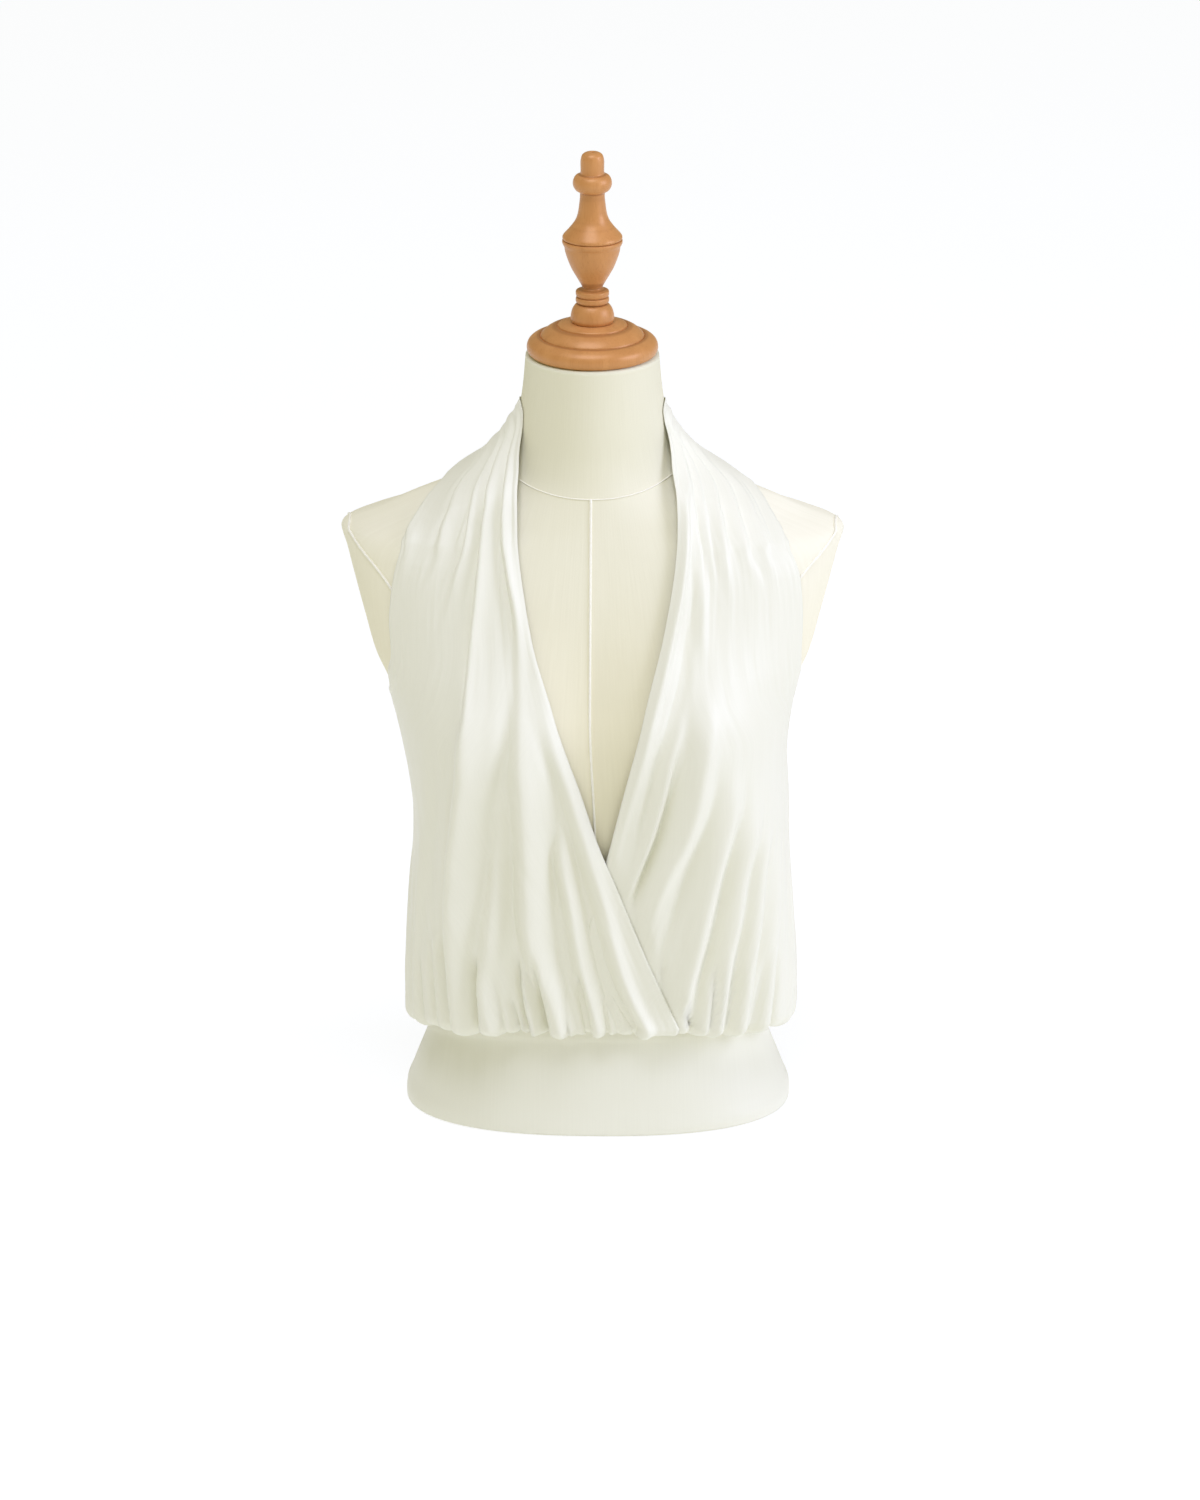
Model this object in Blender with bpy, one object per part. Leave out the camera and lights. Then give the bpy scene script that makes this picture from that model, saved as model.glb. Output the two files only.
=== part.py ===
"""Halter wrap top worn on a limbless tabletop dress form, at its real size.

The form faces -Y and +X is the wearer's left. The origin is the centre of the
form's flat bottom. Tables and sizes are in millimetres and degrees; new_object()
turns millimetres into Blender's metres.

Every surface of the body and the cloth is described by its distance from the
vertical axis, at an angle round the axis (0 at centre front, positive towards
+X) and at a height.
"""

import math

import bpy
import numpy as np

# ---------------------------------------------------------------- sizes, in mm

MM = 0.001

CLOTH_WALL = 1.2            # thickness of the jersey as modelled
SEAM_GAP = 0.3              # air between two sewn or seated pieces
LEG_GAP = 1.0               # air between the waistband and the cloth turned under
BODY_CLEARANCE = 2.8        # form's skin to the middle of a worn panel
DRAPE_SOFTNESS = 3.5        # how gently hanging cloth meets the form
BAND_CLEARANCE = 1.6        # form's skin to the middle of the waistband
OVERLAP_INSET = 4.0         # how far the under front lies behind the over front
OVERLAP_RAMP = 20.0         # width over which it sinks behind the over front
OVERLAP_LEAD = 20.0         # how far outside the over front's edge that starts

FOLD_RISE = 0.35            # share of a fold's length over which it rises
FOLD_FALL = 0.2             # share over which it dies away
STRAP_FOLD_FALL = 0.5       # the same for a fold that starts at the neck band
NECKLINE_FADE = 0.05        # share of a front's width over which folds die at its neckline
OUTER_FADE = 0.08           # the same at its outer edge
SETTLE_START = 0.75         # from here down, a front's rows settle onto the waist's line
LEG_INSET = 0.65            # share of the inset that the turned-under leg keeps

BAND_ABOVE_SEAM = 2.0       # the waistband reaches this far above the waist seam
NECK_BAND_LOW = 523.0
NECK_BAND_HIGH = 551.0
HEM_HEIGHT = 1.5            # hem above the surface the form stands on
FORM_EDGE = 5.0             # height of the rounding at the form's lower edge
NECK_TOP = 595.0            # flat top of the form's neck
SIDE_SEAM = 92.0            # angle of the side seams, degrees
NECK_SEAM = 125.0           # angle where a front ends in the neck band, degrees
BACK_TOP_SIDE = 316.0       # top edge of the back at the side seams
BACK_TOP_DIP = 9.0          # how much lower that edge is at centre back
SIDE_RADIUS = 100.0         # least distance of the side seams from the axis
NECK_RADIUS = 50.0          # least distance of the neck band's seams from the axis
FRONT_RADIUS = 120.0        # distance of the wrap's overlap from the axis

HANG_ANGLE = 46.0           # either side, where cloth hangs straight down from the bust
HANG_SPREAD = 22.0          # degrees
HANG_DEPTH = 18.0           # how far forward it stands there
HANG_TOP = 345.0
HANG_FALL = 110.0           # height over which it comes clear of the body
HANG_LOW = 190.0            # below this the waist's gathers draw it in again
HANG_DRAWN_IN = 0.5         # by this share
HANG_WAIST = 120.0          # height over which they do

LEAN = -4.2                 # the padded body leans this far towards -X above its waist
LEAN_START = 240.0
LEAN_RISE = 110.0           # height over which it gets there
SWAY = 2.8                  # the bloused cloth hangs this far towards +X
SWAY_TOP = 300.0
SWAY_DROP = 60.0            # height over which it gets there

BUST_ANGLE = 36.0           # degrees either side of centre front
BUST_SPREAD = 25.0          # degrees
BUST_HEIGHT = 325.0
BUST_RISE = 60.0
BUST_DEPTH = 27.0
BUST_IN_DRAPE = 0.8         # share of the bust that shows in the hanging cloth

FORM_SECTIONS = (
    # height, half_width, front, back, power across, power in depth
    (0, 143.2, 96.2, 94.0, 2.45, 2.45),
    (2, 145.8, 98.9, 96.6, 2.45, 2.45),
    (5, 146.3, 99.4, 97.0, 2.45, 2.45),
    (20, 141.2, 98.2, 95.0, 2.40, 2.40),
    (50, 129.9, 95.7, 88.5, 2.25, 2.25),
    (80, 120.8, 92.6, 82.0, 2.20, 2.20),
    (112, 118.5, 91.0, 79.0, 2.20, 2.20),
    (152, 122.0, 96.0, 81.0, 2.20, 2.20),
    (202, 129.5, 110.0, 88.0, 2.25, 2.25),
    (252, 136.0, 119.0, 96.0, 2.30, 2.30),
    (287, 140.2, 120.0, 101.0, 2.30, 2.30),
    (320, 146.6, 118.0, 106.0, 2.35, 2.35),
    (336, 150.5, 115.5, 108.0, 2.40, 2.40),
    (352, 157.3, 111.5, 109.5, 2.45, 2.45),
    (368, 165.0, 108.0, 110.5, 2.50, 2.50),
    (395, 172.7, 102.0, 111.0, 2.55, 2.50),
    (425, 180.6, 94.0, 108.0, 2.55, 2.45),
    (448, 186.5, 86.0, 104.0, 2.50, 2.30),
    (461, 190.5, 81.0, 98.0, 2.40, 1.80),
    (466.5, 183.0, 79.0, 95.0, 2.35, 1.50),
    (474.5, 162.0, 76.0, 91.0, 2.30, 1.30),
    (484, 141.0, 73.0, 87.0, 2.25, 1.20),
    (494, 115.0, 70.0, 81.0, 2.20, 1.15),
    (503, 93.5, 67.5, 75.5, 2.10, 1.25),
    (510.5, 78.0, 65.5, 71.0, 2.05, 1.45),
    (519, 67.0, 63.5, 66.0, 2.00, 1.75),
    (529, 61.0, 61.0, 61.5, 2.00, 2.00),
    (545, 58.0, 58.0, 58.0, 2.00, 2.00),
    (572, 53.5, 53.5, 53.5, 2.00, 2.00),
    (NECK_TOP, 50.3, 50.3, 50.3, 2.00, 2.00),
)

DRAPE_SECTIONS = (
    # height, half_width, front, back, power across, power in depth
    (40, 147.0, 104.0, 100.0, 2.30, 2.30),
    (75, 149.4, 108.0, 104.0, 2.30, 2.30),
    (105, 149.6, 111.0, 106.5, 2.30, 2.30),
    (140, 147.4, 114.0, 108.0, 2.30, 2.30),
    (175, 145.0, 118.0, 108.5, 2.30, 2.30),
    (210, 143.0, 121.0, 108.5, 2.30, 2.30),
    (245, 142.2, 124.0, 108.5, 2.30, 2.30),
    (275, 143.0, 125.0, 108.5, 2.30, 2.30),
    (307, 146.0, 123.0, 108.5, 2.35, 2.35),
    (335, 151.0, 119.0, 110.0, 2.40, 2.40),
    (360, 156.0, 110.0, 110.0, 2.50, 2.50),
    (400, 160.0, 100.0, 108.0, 2.50, 2.50),
    (450, 160.0, 85.0, 103.0, 2.50, 2.50),
    (475, 150.0, 79.0, 93.0, 2.40, 2.10),
    (495, 120.0, 75.0, 84.0, 2.30, 1.80),
    (504, 105.0, 72.0, 80.0, 2.20, 1.80),
    (513, 90.0, 68.5, 76.0, 2.10, 1.80),
    (524, 76.0, 65.0, 71.0, 2.05, 1.90),
    (538, 65.0, 62.0, 66.0, 2.00, 2.00),
    (556, 58.5, 58.0, 58.5, 2.00, 2.00),
    (580, 54.0, 54.0, 54.0, 2.00, 2.00),
)

BLOUSE_SECTIONS = (
    # angle from centre front, waist seam's height, lowest point of the roll, depth of the roll
    (0, 96.0, 86.5, 8.0),
    (30, 94.0, 85.0, 8.5),
    (45, 91.0, 82.0, 9.5),
    (60, 87.0, 77.0, 10.5),
    (75, 82.0, 69.5, 11.5),
    (92, 77.0, 60.0, 12.5),
    (135, 82.0, 66.0, 12.0),
    (180, 86.0, 72.0, 11.0),
)

OVER_STATIONS = (
    # neckline edge's angle and height, outer edge's angle and height, neck band to waist
    (125.0, 551, 125.0, 523),
    (105.0, 559, 112.0, 512.5),
    (86.0, 563, 99.0, 506),
    (70.0, 560, 87.5, 500),
    (57.2, 540, 78.8, 488),
    (47.5, 516, 72.0, 473.5),
    (39.1, 495, 67.0, 455.5),
    (34.4, 470, 66.2, 432),
    (28.1, 437, 66.3, 406),
    (21.4, 399, 65.5, 380),
    (13.3, 356, 70.5, 351),
    (5.6, 301, 92.0, 317),
    (-0.6, 250, 92.0, 262),
    (-8.5, 206, 92.0, 212),
    (-18.2, 153, 92.0, 158),
    (-30.0, 94, 92.0, 76),
)

UNDER_STATIONS = (
    # neckline edge's angle and height, outer edge's angle and height, neck band to waist
    (125.0, 551, 125.0, 523),
    (105.0, 559, 112.0, 512.5),
    (86.0, 563, 100.5, 505),
    (72.5, 560, 90.5, 497),
    (62.5, 541, 81.5, 487),
    (53.5, 516, 74.0, 473.5),
    (45.4, 497, 69.3, 456),
    (39.3, 469, 69.3, 434),
    (33.3, 438, 69.7, 408),
    (27.2, 405, 70.2, 380),
    (19.6, 364, 74.5, 352),
    (13.1, 315, 92.0, 317),
    (7.6, 268, 92.0, 262),
    (3.0, 224, 92.0, 212),
    (-3.7, 165, 92.0, 158),
    (-12.0, 94, 92.0, 76),
)

OVER_FOLDS = (
    # start and end down the panel, place across it at the start, middle and end, width, height
    (0.00, 0.50, 0.06, 0.09, 0.30, 0.045, 2.5),
    (0.00, 0.75, 0.30, 0.33, 0.34, 0.050, 3.5),
    (0.00, 0.52, 0.45, 0.45, 0.53, 0.045, 2.5),
    (0.00, 0.50, 0.74, 0.73, 0.60, 0.050, 2.5),
    (0.66, 1.34, 0.34, 0.66, 0.66, 0.040, 4.5),
    (0.58, 1.32, 0.03, 0.32, 0.38, 0.045, 5.0),
    (0.72, 1.28, 0.06, 0.23, 0.24, 0.035, 4.0),
    (0.74, 1.26, 0.30, 0.55, 0.56, 0.035, 3.0),
    (0.84, 1.20, 0.70, 0.77, 0.77, 0.035, 3.0),
    (0.80, 1.20, 0.89, 0.89, 0.89, 0.035, 2.5),
)

UNDER_FOLDS = (
    # start and end down the panel, place across it at the start, middle and end, width, height
    (0.00, 0.60, 0.14, 0.11, 0.12, 0.050, 3.0),
    (0.00, 0.66, 0.31, 0.34, 0.58, 0.045, 3.0),
    (0.00, 0.50, 0.50, 0.63, 0.68, 0.045, 2.5),
    (0.00, 0.52, 0.74, 0.83, 0.87, 0.045, 2.5),
    (0.50, 0.95, 0.10, 0.06, 0.04, 0.045, 4.0),
    (0.64, 1.04, 0.28, 0.30, 0.22, 0.040, 4.5),
    (0.66, 1.34, 0.38, 0.46, 0.47, 0.038, 4.5),
    (0.72, 1.30, 0.56, 0.55, 0.54, 0.036, 3.5),
    (0.78, 1.22, 0.70, 0.65, 0.64, 0.036, 3.0),
    (0.84, 1.20, 0.84, 0.82, 0.81, 0.036, 2.5),
)

BACK_FOLDS = (
    # start and end down the panel, place across it at the start, middle and end, width, height
    (0.35, 1.30, 0.09, 0.09, 0.09, 0.026, 3.0),
    (0.15, 1.30, 0.22, 0.21, 0.20, 0.030, 4.0),
    (0.45, 1.30, 0.35, 0.35, 0.34, 0.026, 3.0),
    (0.10, 1.30, 0.49, 0.50, 0.50, 0.032, 4.5),
    (0.40, 1.30, 0.64, 0.64, 0.65, 0.026, 3.0),
    (0.20, 1.30, 0.78, 0.79, 0.79, 0.030, 4.0),
    (0.50, 1.30, 0.91, 0.91, 0.92, 0.026, 2.5),
)

CAP_PROFILE = (
    # radius, height above the neck
    (45.6, 0.3), (47.8, 1.6), (49.2, 4.2), (49.4, 7.0), (48.2, 10.4), (45.0, 13.2), (40.0, 14.8),
    (39.2, 14.0), (38.6, 15.6), (33.6, 20.0), (27.2, 22.6), (26.2, 21.9), (25.6, 23.4), (20.0, 25.2),
)

FINIAL_PROFILE = (
    # radius, height above the neck
    (15.4, 25.5), (16.1, 27.5), (15.9, 30.9), (14.6, 34.5), (12.2, 37.4), (10.4, 38.4),
    (12.2, 39.4), (12.6, 41.6), (12.2, 44.0), (11.2, 44.7), (12.2, 45.5), (12.6, 47.7), (12.2, 50.1),
    (9, 51.3), (7.6, 52.6), (8.6, 54.6), (12.2, 60.9), (15.8, 67.4), (18.6, 74.2), (20.5, 80.3),
    (21.5, 85.8), (22.5, 87.6), (22.9, 90.6), (22.3, 93.7), (19.8, 95.5), (15.9, 99.8), (12.9, 104.2),
    (11.1, 109.1), (10, 115.8), (9.3, 122.7), (9.6, 124.7), (12.6, 126.7), (14.5, 130.4),
    (14.4, 134.6), (12.6, 138.1), (9.4, 139.7), (8.9, 141.5), (8.8, 150.9), (7.6, 154.7),
    (5, 156.5), (1.7, 156.7), (1.6, 152.7),
)

# --------------------------------------------------------- mesh finenesses

FORM_SEGMENTS = 48
CORNER_BIAS = 3.0           # degrees by which facets crowd towards the corners of the sections
FORM_LONGEST_STEP = 25.0    # tallest ring of the form's skin
CAP_SEGMENTS = 28
FINIAL_SEGMENTS = 16
FRONT_COLUMNS = 26
FRONT_ROWS = 27
BACK_COLUMNS = 28
BACK_ROWS = 9
ROLL_ROWS = 6
BAND_COLUMNS = 28
BAND_ROWS = 6
NECK_BAND_COLUMNS = 15
NECK_BAND_ROWS = 4
NEWTON_STEPS = 8            # passes that settle the radius of an oval section
CRISP_EDGE = 40.0           # degrees; turned edges sharper than this stay crisp

COLOURS = {
    # slot: red, green, blue, roughness
    "jersey": (0.86, 0.86, 0.80, 0.45),
    "form_cover": (0.78, 0.75, 0.62, 0.80),
    "turned_wood": (0.62, 0.34, 0.14, 0.35),
}


# ------------------------------------------------------------------ formulas

def spline(knots, values, at):
    """Smooth curve through the knots that never overshoots them."""
    knots = np.asarray(knots, float)
    values = np.asarray(values, float)
    spans = np.diff(knots)
    slopes = np.diff(values) / spans
    before, after = slopes[:-1], slopes[1:]
    near = 2 * spans[1:] + spans[:-1]
    far = spans[1:] + 2 * spans[:-1]
    steady = before * after > 0
    blend = near / np.where(steady, before, 1) + far / np.where(steady, after, 1)
    tangents = np.concatenate(([slopes[0]], np.where(steady, (near + far) / blend, 0), [slopes[-1]]))
    at = np.clip(at, knots[0], knots[-1])
    i = np.clip(np.searchsorted(knots, at, side="right") - 1, 0, len(spans) - 1)
    t = (at - knots[i]) / spans[i]
    start = (1 + 2 * t) * (1 - t) ** 2 * values[i] + t * (1 - t) ** 2 * spans[i] * tangents[i]
    end = t * t * (3 - 2 * t) * values[i + 1] + t * t * (t - 1) * spans[i] * tangents[i + 1]
    return start + end


def mix(a, b, share):
    return a + (b - a) * share


def smooth_step(x):
    x = np.clip(x, 0.0, 1.0)
    return x * x * (3 - 2 * x)


def smooth_max(a, b, softness):
    return 0.5 * (a + b + np.sqrt((a - b) ** 2 + softness ** 2))


def section_radius(sections, angle, height):
    """Distance from the axis to an oval section, interpolated in height.

    The section is (x / half_width) ** across + (y / depth) ** along = 1, and
    Newton's method finds the radius that satisfies it.
    """
    table = np.array(sections, float)
    half_width, front, back, across, along = (spline(table[:, 0], table[:, k], height) for k in range(1, 6))
    turn = np.radians(angle)
    x = np.abs(np.sin(turn)) / half_width
    y = np.maximum(np.abs(np.cos(turn)), 1e-6) / np.where(np.cos(turn) > 0, front, back)
    radius = 1 / np.maximum(x, y)
    for _ in range(NEWTON_STEPS):
        value = (radius * x) ** across + (radius * y) ** along - 1
        slope = (across * (radius * x) ** across + along * (radius * y) ** along) / radius
        radius = radius - value / slope
    return radius


def bust(angle, height):
    beside = (np.abs(angle) - BUST_ANGLE) / BUST_SPREAD
    above = (height - BUST_HEIGHT) / BUST_RISE
    return BUST_DEPTH * np.exp(-beside ** 2 - above ** 2)


def hang(angle, height):
    """How far the cloth that hangs from the bust stands forward of the drape's ovals."""
    away = np.abs((np.asarray(angle) + 180) % 360 - 180)
    clear = smooth_step((HANG_TOP - height) / HANG_FALL)
    drawn = HANG_DRAWN_IN * smooth_step((HANG_LOW - height) / HANG_WAIST)
    return HANG_DEPTH * np.exp(-((away - HANG_ANGLE) / HANG_SPREAD) ** 2) * clear * (1 - drawn)


def form_radius(angle, height):
    return section_radius(FORM_SECTIONS, angle, height) + bust(angle, height)


def cloth_radius(angle, height, fold=0.0):
    """Middle of a worn panel: it hangs as the drape, and lies on the form where it meets it."""
    skin = np.maximum(form_radius(angle, height), form_radius(angle, height - BODY_CLEARANCE))
    sway = SWAY * np.sin(np.radians(angle)) * smooth_step((SWAY_TOP - height) / SWAY_DROP)
    lobes = BUST_IN_DRAPE * bust(angle, height) + hang(angle, height)
    hanging = section_radius(DRAPE_SECTIONS, angle, height) + lobes + sway
    return smooth_max(skin + BODY_CLEARANCE, hanging + fold, DRAPE_SOFTNESS)


def band_radius(angle, height):
    """Middle of the waistband, which hangs straight where the form's edge rounds in below it."""
    return form_radius(angle, np.maximum(height, FORM_EDGE)) + BAND_CLEARANCE


def gap_angle(radius):
    """Half a seam's gap, as an angle at that distance from the axis."""
    return math.degrees(SEAM_GAP / 2 / radius)


def blouse(column, angle):
    """A column of BLOUSE_SECTIONS at an angle: 1 seam height, 2 lowest point, 3 depth of the roll."""
    table = np.array(BLOUSE_SECTIONS, float)
    away = np.abs((np.asarray(angle) + 180) % 360 - 180)
    return spline(table[:, 0], table[:, column], away)


def roll_top(angle):
    return blouse(2, angle) + blouse(3, angle)


def fold_height(folds, across, down):
    """Soft ridges; each follows its own line down the panel and fades at its ends."""
    total = np.zeros(np.broadcast(across, down).shape)
    for start, end, place_start, place_middle, place_end, width, height in folds:
        along = (down - start) / (end - start)
        place = spline((0, 0.5, 1), (place_start, place_middle, place_end), along)
        if start == 0.0:
            fade = smooth_step((1 - along) / STRAP_FOLD_FALL)
        else:
            fade = smooth_step(along / FOLD_RISE) * smooth_step((1 - along) / FOLD_FALL)
        total = total + height * fade * np.exp(-((across - place) / width) ** 2)
    return total


def over_edge_angle(height):
    """Where the over front's neckline edge lies, as an angle on the under front's side."""
    table = np.array(OVER_STATIONS[3:], float)[::-1]
    return -spline(table[:, 1], table[:, 0], height)


def inset_behind_over(angle, height):
    """How far the under front lies behind the over front's surface."""
    outside = np.radians(angle - over_edge_angle(height)) * FRONT_RADIUS
    return OVERLAP_INSET * smooth_step((OVERLAP_LEAD - outside) / OVERLAP_RAMP)


# --------------------------------------------------------------- making meshes

def points(angle, radius, height):
    turn = np.radians(angle)
    across = radius * np.sin(turn) + LEAN * smooth_step((height - LEAN_START) / LEAN_RISE)
    return np.stack((across, -radius * np.cos(turn), height + 0 * radius), axis=-1)


def new_object(name, vertices, faces, slot):
    mesh = bpy.data.meshes.new(name)
    mesh.from_pydata((np.asarray(vertices) * MM).tolist(), [], faces)
    mesh.shade_smooth()
    mesh.materials.append(material(slot))
    made = bpy.data.objects.new(name, mesh)
    bpy.context.scene.collection.objects.link(made)
    return made


def material(slot):
    if slot in bpy.data.materials:
        return bpy.data.materials[slot]
    red, green, blue, roughness = COLOURS[slot]
    made = bpy.data.materials.new(slot)
    made.use_nodes = True
    shader = made.node_tree.nodes["Principled BSDF"]
    shader.inputs["Base Color"].default_value = (red, green, blue, 1.0)
    shader.inputs["Roughness"].default_value = roughness
    shader.inputs["Metallic"].default_value = 0.0
    return made


def new_loft(name, rings, slot):
    """Closed solid through a stack of rings that run anticlockwise seen from above."""
    count = len(rings[0])
    faces = [tuple(reversed(range(count)))]
    for low in range(len(rings) - 1):
        for k in range(count):
            a, b = low * count + k, low * count + (k + 1) % count
            faces.append((a, b, b + count, a + count))
    top = (len(rings) - 1) * count
    faces.append(tuple(range(top, top + count)))
    return new_object(name, np.concatenate(rings), faces, slot)


def new_turning(name, profile, segments):
    turn = np.arange(segments) * 360.0 / segments
    rings = [points(turn, np.full(segments, float(r)), NECK_TOP + h) for r, h in profile]
    made = new_loft(name, rings, "turned_wood")
    made.data.set_sharp_from_angle(angle=math.radians(CRISP_EDGE))
    return made


def new_cloth(name, grid):
    """Panel whose middle surface is the grid, thickened to the cloth's wall."""
    rows, columns = grid.shape[:2]
    faces = []
    for i in range(rows - 1):
        for j in range(columns - 1):
            a = i * columns + j
            faces.append((a, a + 1, a + columns + 1, a + columns))
    made = new_object(name, grid.reshape(-1, 3), faces, "jersey")
    wall = made.modifiers.new("wall", "SOLIDIFY")
    wall.thickness = CLOTH_WALL * MM
    wall.offset = 0.0
    return made


# ------------------------------------------------------------------ sub-parts

def make_form():
    heights = [FORM_SECTIONS[0][0]]
    for lower, upper in zip(FORM_SECTIONS, FORM_SECTIONS[1:]):
        steps = math.ceil((upper[0] - lower[0]) / FORM_LONGEST_STEP)
        heights += [mix(lower[0], upper[0], (k + 1) / steps) for k in range(steps)]
    turn = np.arange(FORM_SEGMENTS) * 360.0 / FORM_SEGMENTS
    turn = turn + CORNER_BIAS * np.sin(np.radians(4 * turn))
    around = (turn + 180) % 360 - 180
    rings = [points(around, form_radius(around, h), h) for h in heights]
    return new_loft("form_torso", rings, "form_cover")


def roll_under(angle, radius, inset):
    """Rows from the panel's lowest hanging point, under and up to the waist seam."""
    top = roll_top(angle)
    depth = blouse(3, angle) - inset
    wall_gap = CLOTH_WALL + LEG_GAP
    inner = band_radius(angle, top) + wall_gap + LEG_INSET * inset
    half = (radius - inner) / 2
    rows = []
    for k in range(1, ROLL_ROWS):
        turn = math.pi * k / (ROLL_ROWS - 1)
        height = top - depth * math.sin(turn)
        around = inner + half + half * math.cos(turn)
        lining = band_radius(angle, height) + wall_gap + LEG_INSET * inset
        rows.append((angle, np.maximum(around, lining), height))
    seam = blouse(1, angle)
    rows.append((angle, band_radius(angle, seam) + wall_gap + LEG_INSET * inset, seam))
    return rows


def panel_grid(angle, height, fold, inset):
    """Body rows of a panel, followed by the rows that roll under to the waist seam."""
    radius = cloth_radius(angle, height, fold) - inset
    rows = [points(angle, radius, height)]
    for row in roll_under(angle[-1], radius[-1], inset[-1]):
        rows.append(points(*row)[None])
    return np.concatenate(rows)


def make_front(name, side, stations, folds, nested):
    down = np.linspace(0, 1, FRONT_ROWS)[:, None]
    across = np.linspace(0, 1, FRONT_COLUMNS)[None, :]
    table = np.array(stations, float)
    knots = np.linspace(0, 1, len(table))
    neck_angle, neck_height, outer_angle, outer_height = (spline(knots, table[:, k], down) for k in range(4))
    side_seam = np.where(down > 0.5, SIDE_SEAM - gap_angle(SIDE_RADIUS), NECK_SEAM)
    outer_angle = np.minimum(outer_angle, side_seam)
    angle = mix(neck_angle, outer_angle, across)
    angle = side * np.minimum(angle, NECK_SEAM - gap_angle(NECK_RADIUS))
    height = mix(neck_height, outer_height, across)
    settle = np.clip((down - SETTLE_START) / (1 - SETTLE_START), 0, 1) ** 2
    height = height + settle * (roll_top(angle) - mix(table[-1, 1], table[-1, 3], across))
    fold = fold_height(folds, across, down) * smooth_step(across / NECKLINE_FADE)
    fold = fold * smooth_step((1 - across) / OUTER_FADE)
    inset = inset_behind_over(angle, height) if nested else 0 * angle
    fold = fold * (1 - inset / OVERLAP_INSET)
    return new_cloth(name, panel_grid(angle, height, fold, inset))


def make_back():
    down = np.linspace(0, 1, BACK_ROWS)[:, None]
    across = np.linspace(0, 1, BACK_COLUMNS)[None, :]
    seam = SIDE_SEAM + gap_angle(SIDE_RADIUS)
    angle = mix(seam, 360 - seam, across) + 0 * down
    top = BACK_TOP_SIDE - BACK_TOP_DIP * np.sin(math.pi * across)
    height = mix(top, roll_top(angle), down)
    fold = fold_height(BACK_FOLDS, across, down)
    return new_cloth("back_panel", panel_grid(angle, height, fold, 0 * angle))


def make_neck_band():
    seam = NECK_SEAM + gap_angle(NECK_RADIUS)
    angle = np.linspace(seam, 360 - seam, NECK_BAND_COLUMNS)[None, :]
    height = np.linspace(NECK_BAND_HIGH, NECK_BAND_LOW, NECK_BAND_ROWS)[:, None] + 0 * angle
    return new_cloth("neck_band", points(angle, cloth_radius(angle, height), height))


def make_waistband(name, start, end):
    seam = gap_angle(SIDE_RADIUS)
    angle = np.linspace(start + seam, end - seam, BAND_COLUMNS)[None, :]
    down = np.linspace(0, 1, BAND_ROWS - 1)[:, None]
    height = mix(blouse(1, angle) + BAND_ABOVE_SEAM, FORM_EDGE, down)
    height = np.concatenate((height, 0 * angle + HEM_HEIGHT))
    return new_cloth(name, points(angle + 0 * height, band_radius(angle, height), height))


def main():
    for old in list(bpy.data.objects):
        bpy.data.objects.remove(old, do_unlink=True)
    make_form()
    new_turning("neck_cap", CAP_PROFILE, CAP_SEGMENTS)
    new_turning("finial", FINIAL_PROFILE, FINIAL_SEGMENTS)
    make_front("front_over", -1, OVER_STATIONS, OVER_FOLDS, False)
    make_front("front_under", 1, UNDER_STATIONS, UNDER_FOLDS, True)
    make_back()
    make_neck_band()
    make_waistband("waistband_front", -SIDE_SEAM, SIDE_SEAM)
    make_waistband("waistband_back", SIDE_SEAM, 360 - SIDE_SEAM)


main()
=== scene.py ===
import math

import bpy
import numpy as np
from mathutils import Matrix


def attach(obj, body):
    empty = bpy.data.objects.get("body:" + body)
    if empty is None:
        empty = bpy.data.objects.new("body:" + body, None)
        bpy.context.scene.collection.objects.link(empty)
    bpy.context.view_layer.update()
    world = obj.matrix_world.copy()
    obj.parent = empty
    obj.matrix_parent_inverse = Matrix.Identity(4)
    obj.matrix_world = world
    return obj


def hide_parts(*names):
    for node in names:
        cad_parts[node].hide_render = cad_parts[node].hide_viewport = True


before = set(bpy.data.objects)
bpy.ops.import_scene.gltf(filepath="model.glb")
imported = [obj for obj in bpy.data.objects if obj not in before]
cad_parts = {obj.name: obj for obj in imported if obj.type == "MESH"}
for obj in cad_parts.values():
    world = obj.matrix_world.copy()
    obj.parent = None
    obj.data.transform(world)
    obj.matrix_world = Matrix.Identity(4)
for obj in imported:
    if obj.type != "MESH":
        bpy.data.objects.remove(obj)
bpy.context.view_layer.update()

# Looks of the halter wrap top and of the limbless dress form that wears it.
#
# Tables and sizes are in millimetres and degrees; new_mesh() turns millimetres into metres. As in the
# CAD source, a surface is its distance from the vertical axis at an angle round it (0 at centre front,
# positive towards +X) and a height. A panel's own coordinates are across (0 at the neckline edge, 1 at
# the outer edge) and down (0 at the neck band, 1 where the cloth rolls under).

MM = 0.001

# The CAD source's sizes. Only the neck's width, the straps' inner edges and the finial differ a little.

CAD_WALL = 1.2  # wall of the CAD cloth, which sets the roll's inner leg
SEAM_GAP = 0.3  # air between two sewn pieces
LEG_GAP = 1.0  # air between the waistband and the cloth turned under
BODY_CLEARANCE = 2.8  # form's skin to the middle of a worn panel
DRAPE_SOFTNESS = 3.5  # how gently hanging cloth meets the form
BAND_CLEARANCE = 1.6  # form's skin to the middle of the waistband
SETTLE_START = 0.75  # from here down, a front's rows settle onto the waist's line
LEG_INSET = 0.65  # share of the inset that the turned-under leg keeps

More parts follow.
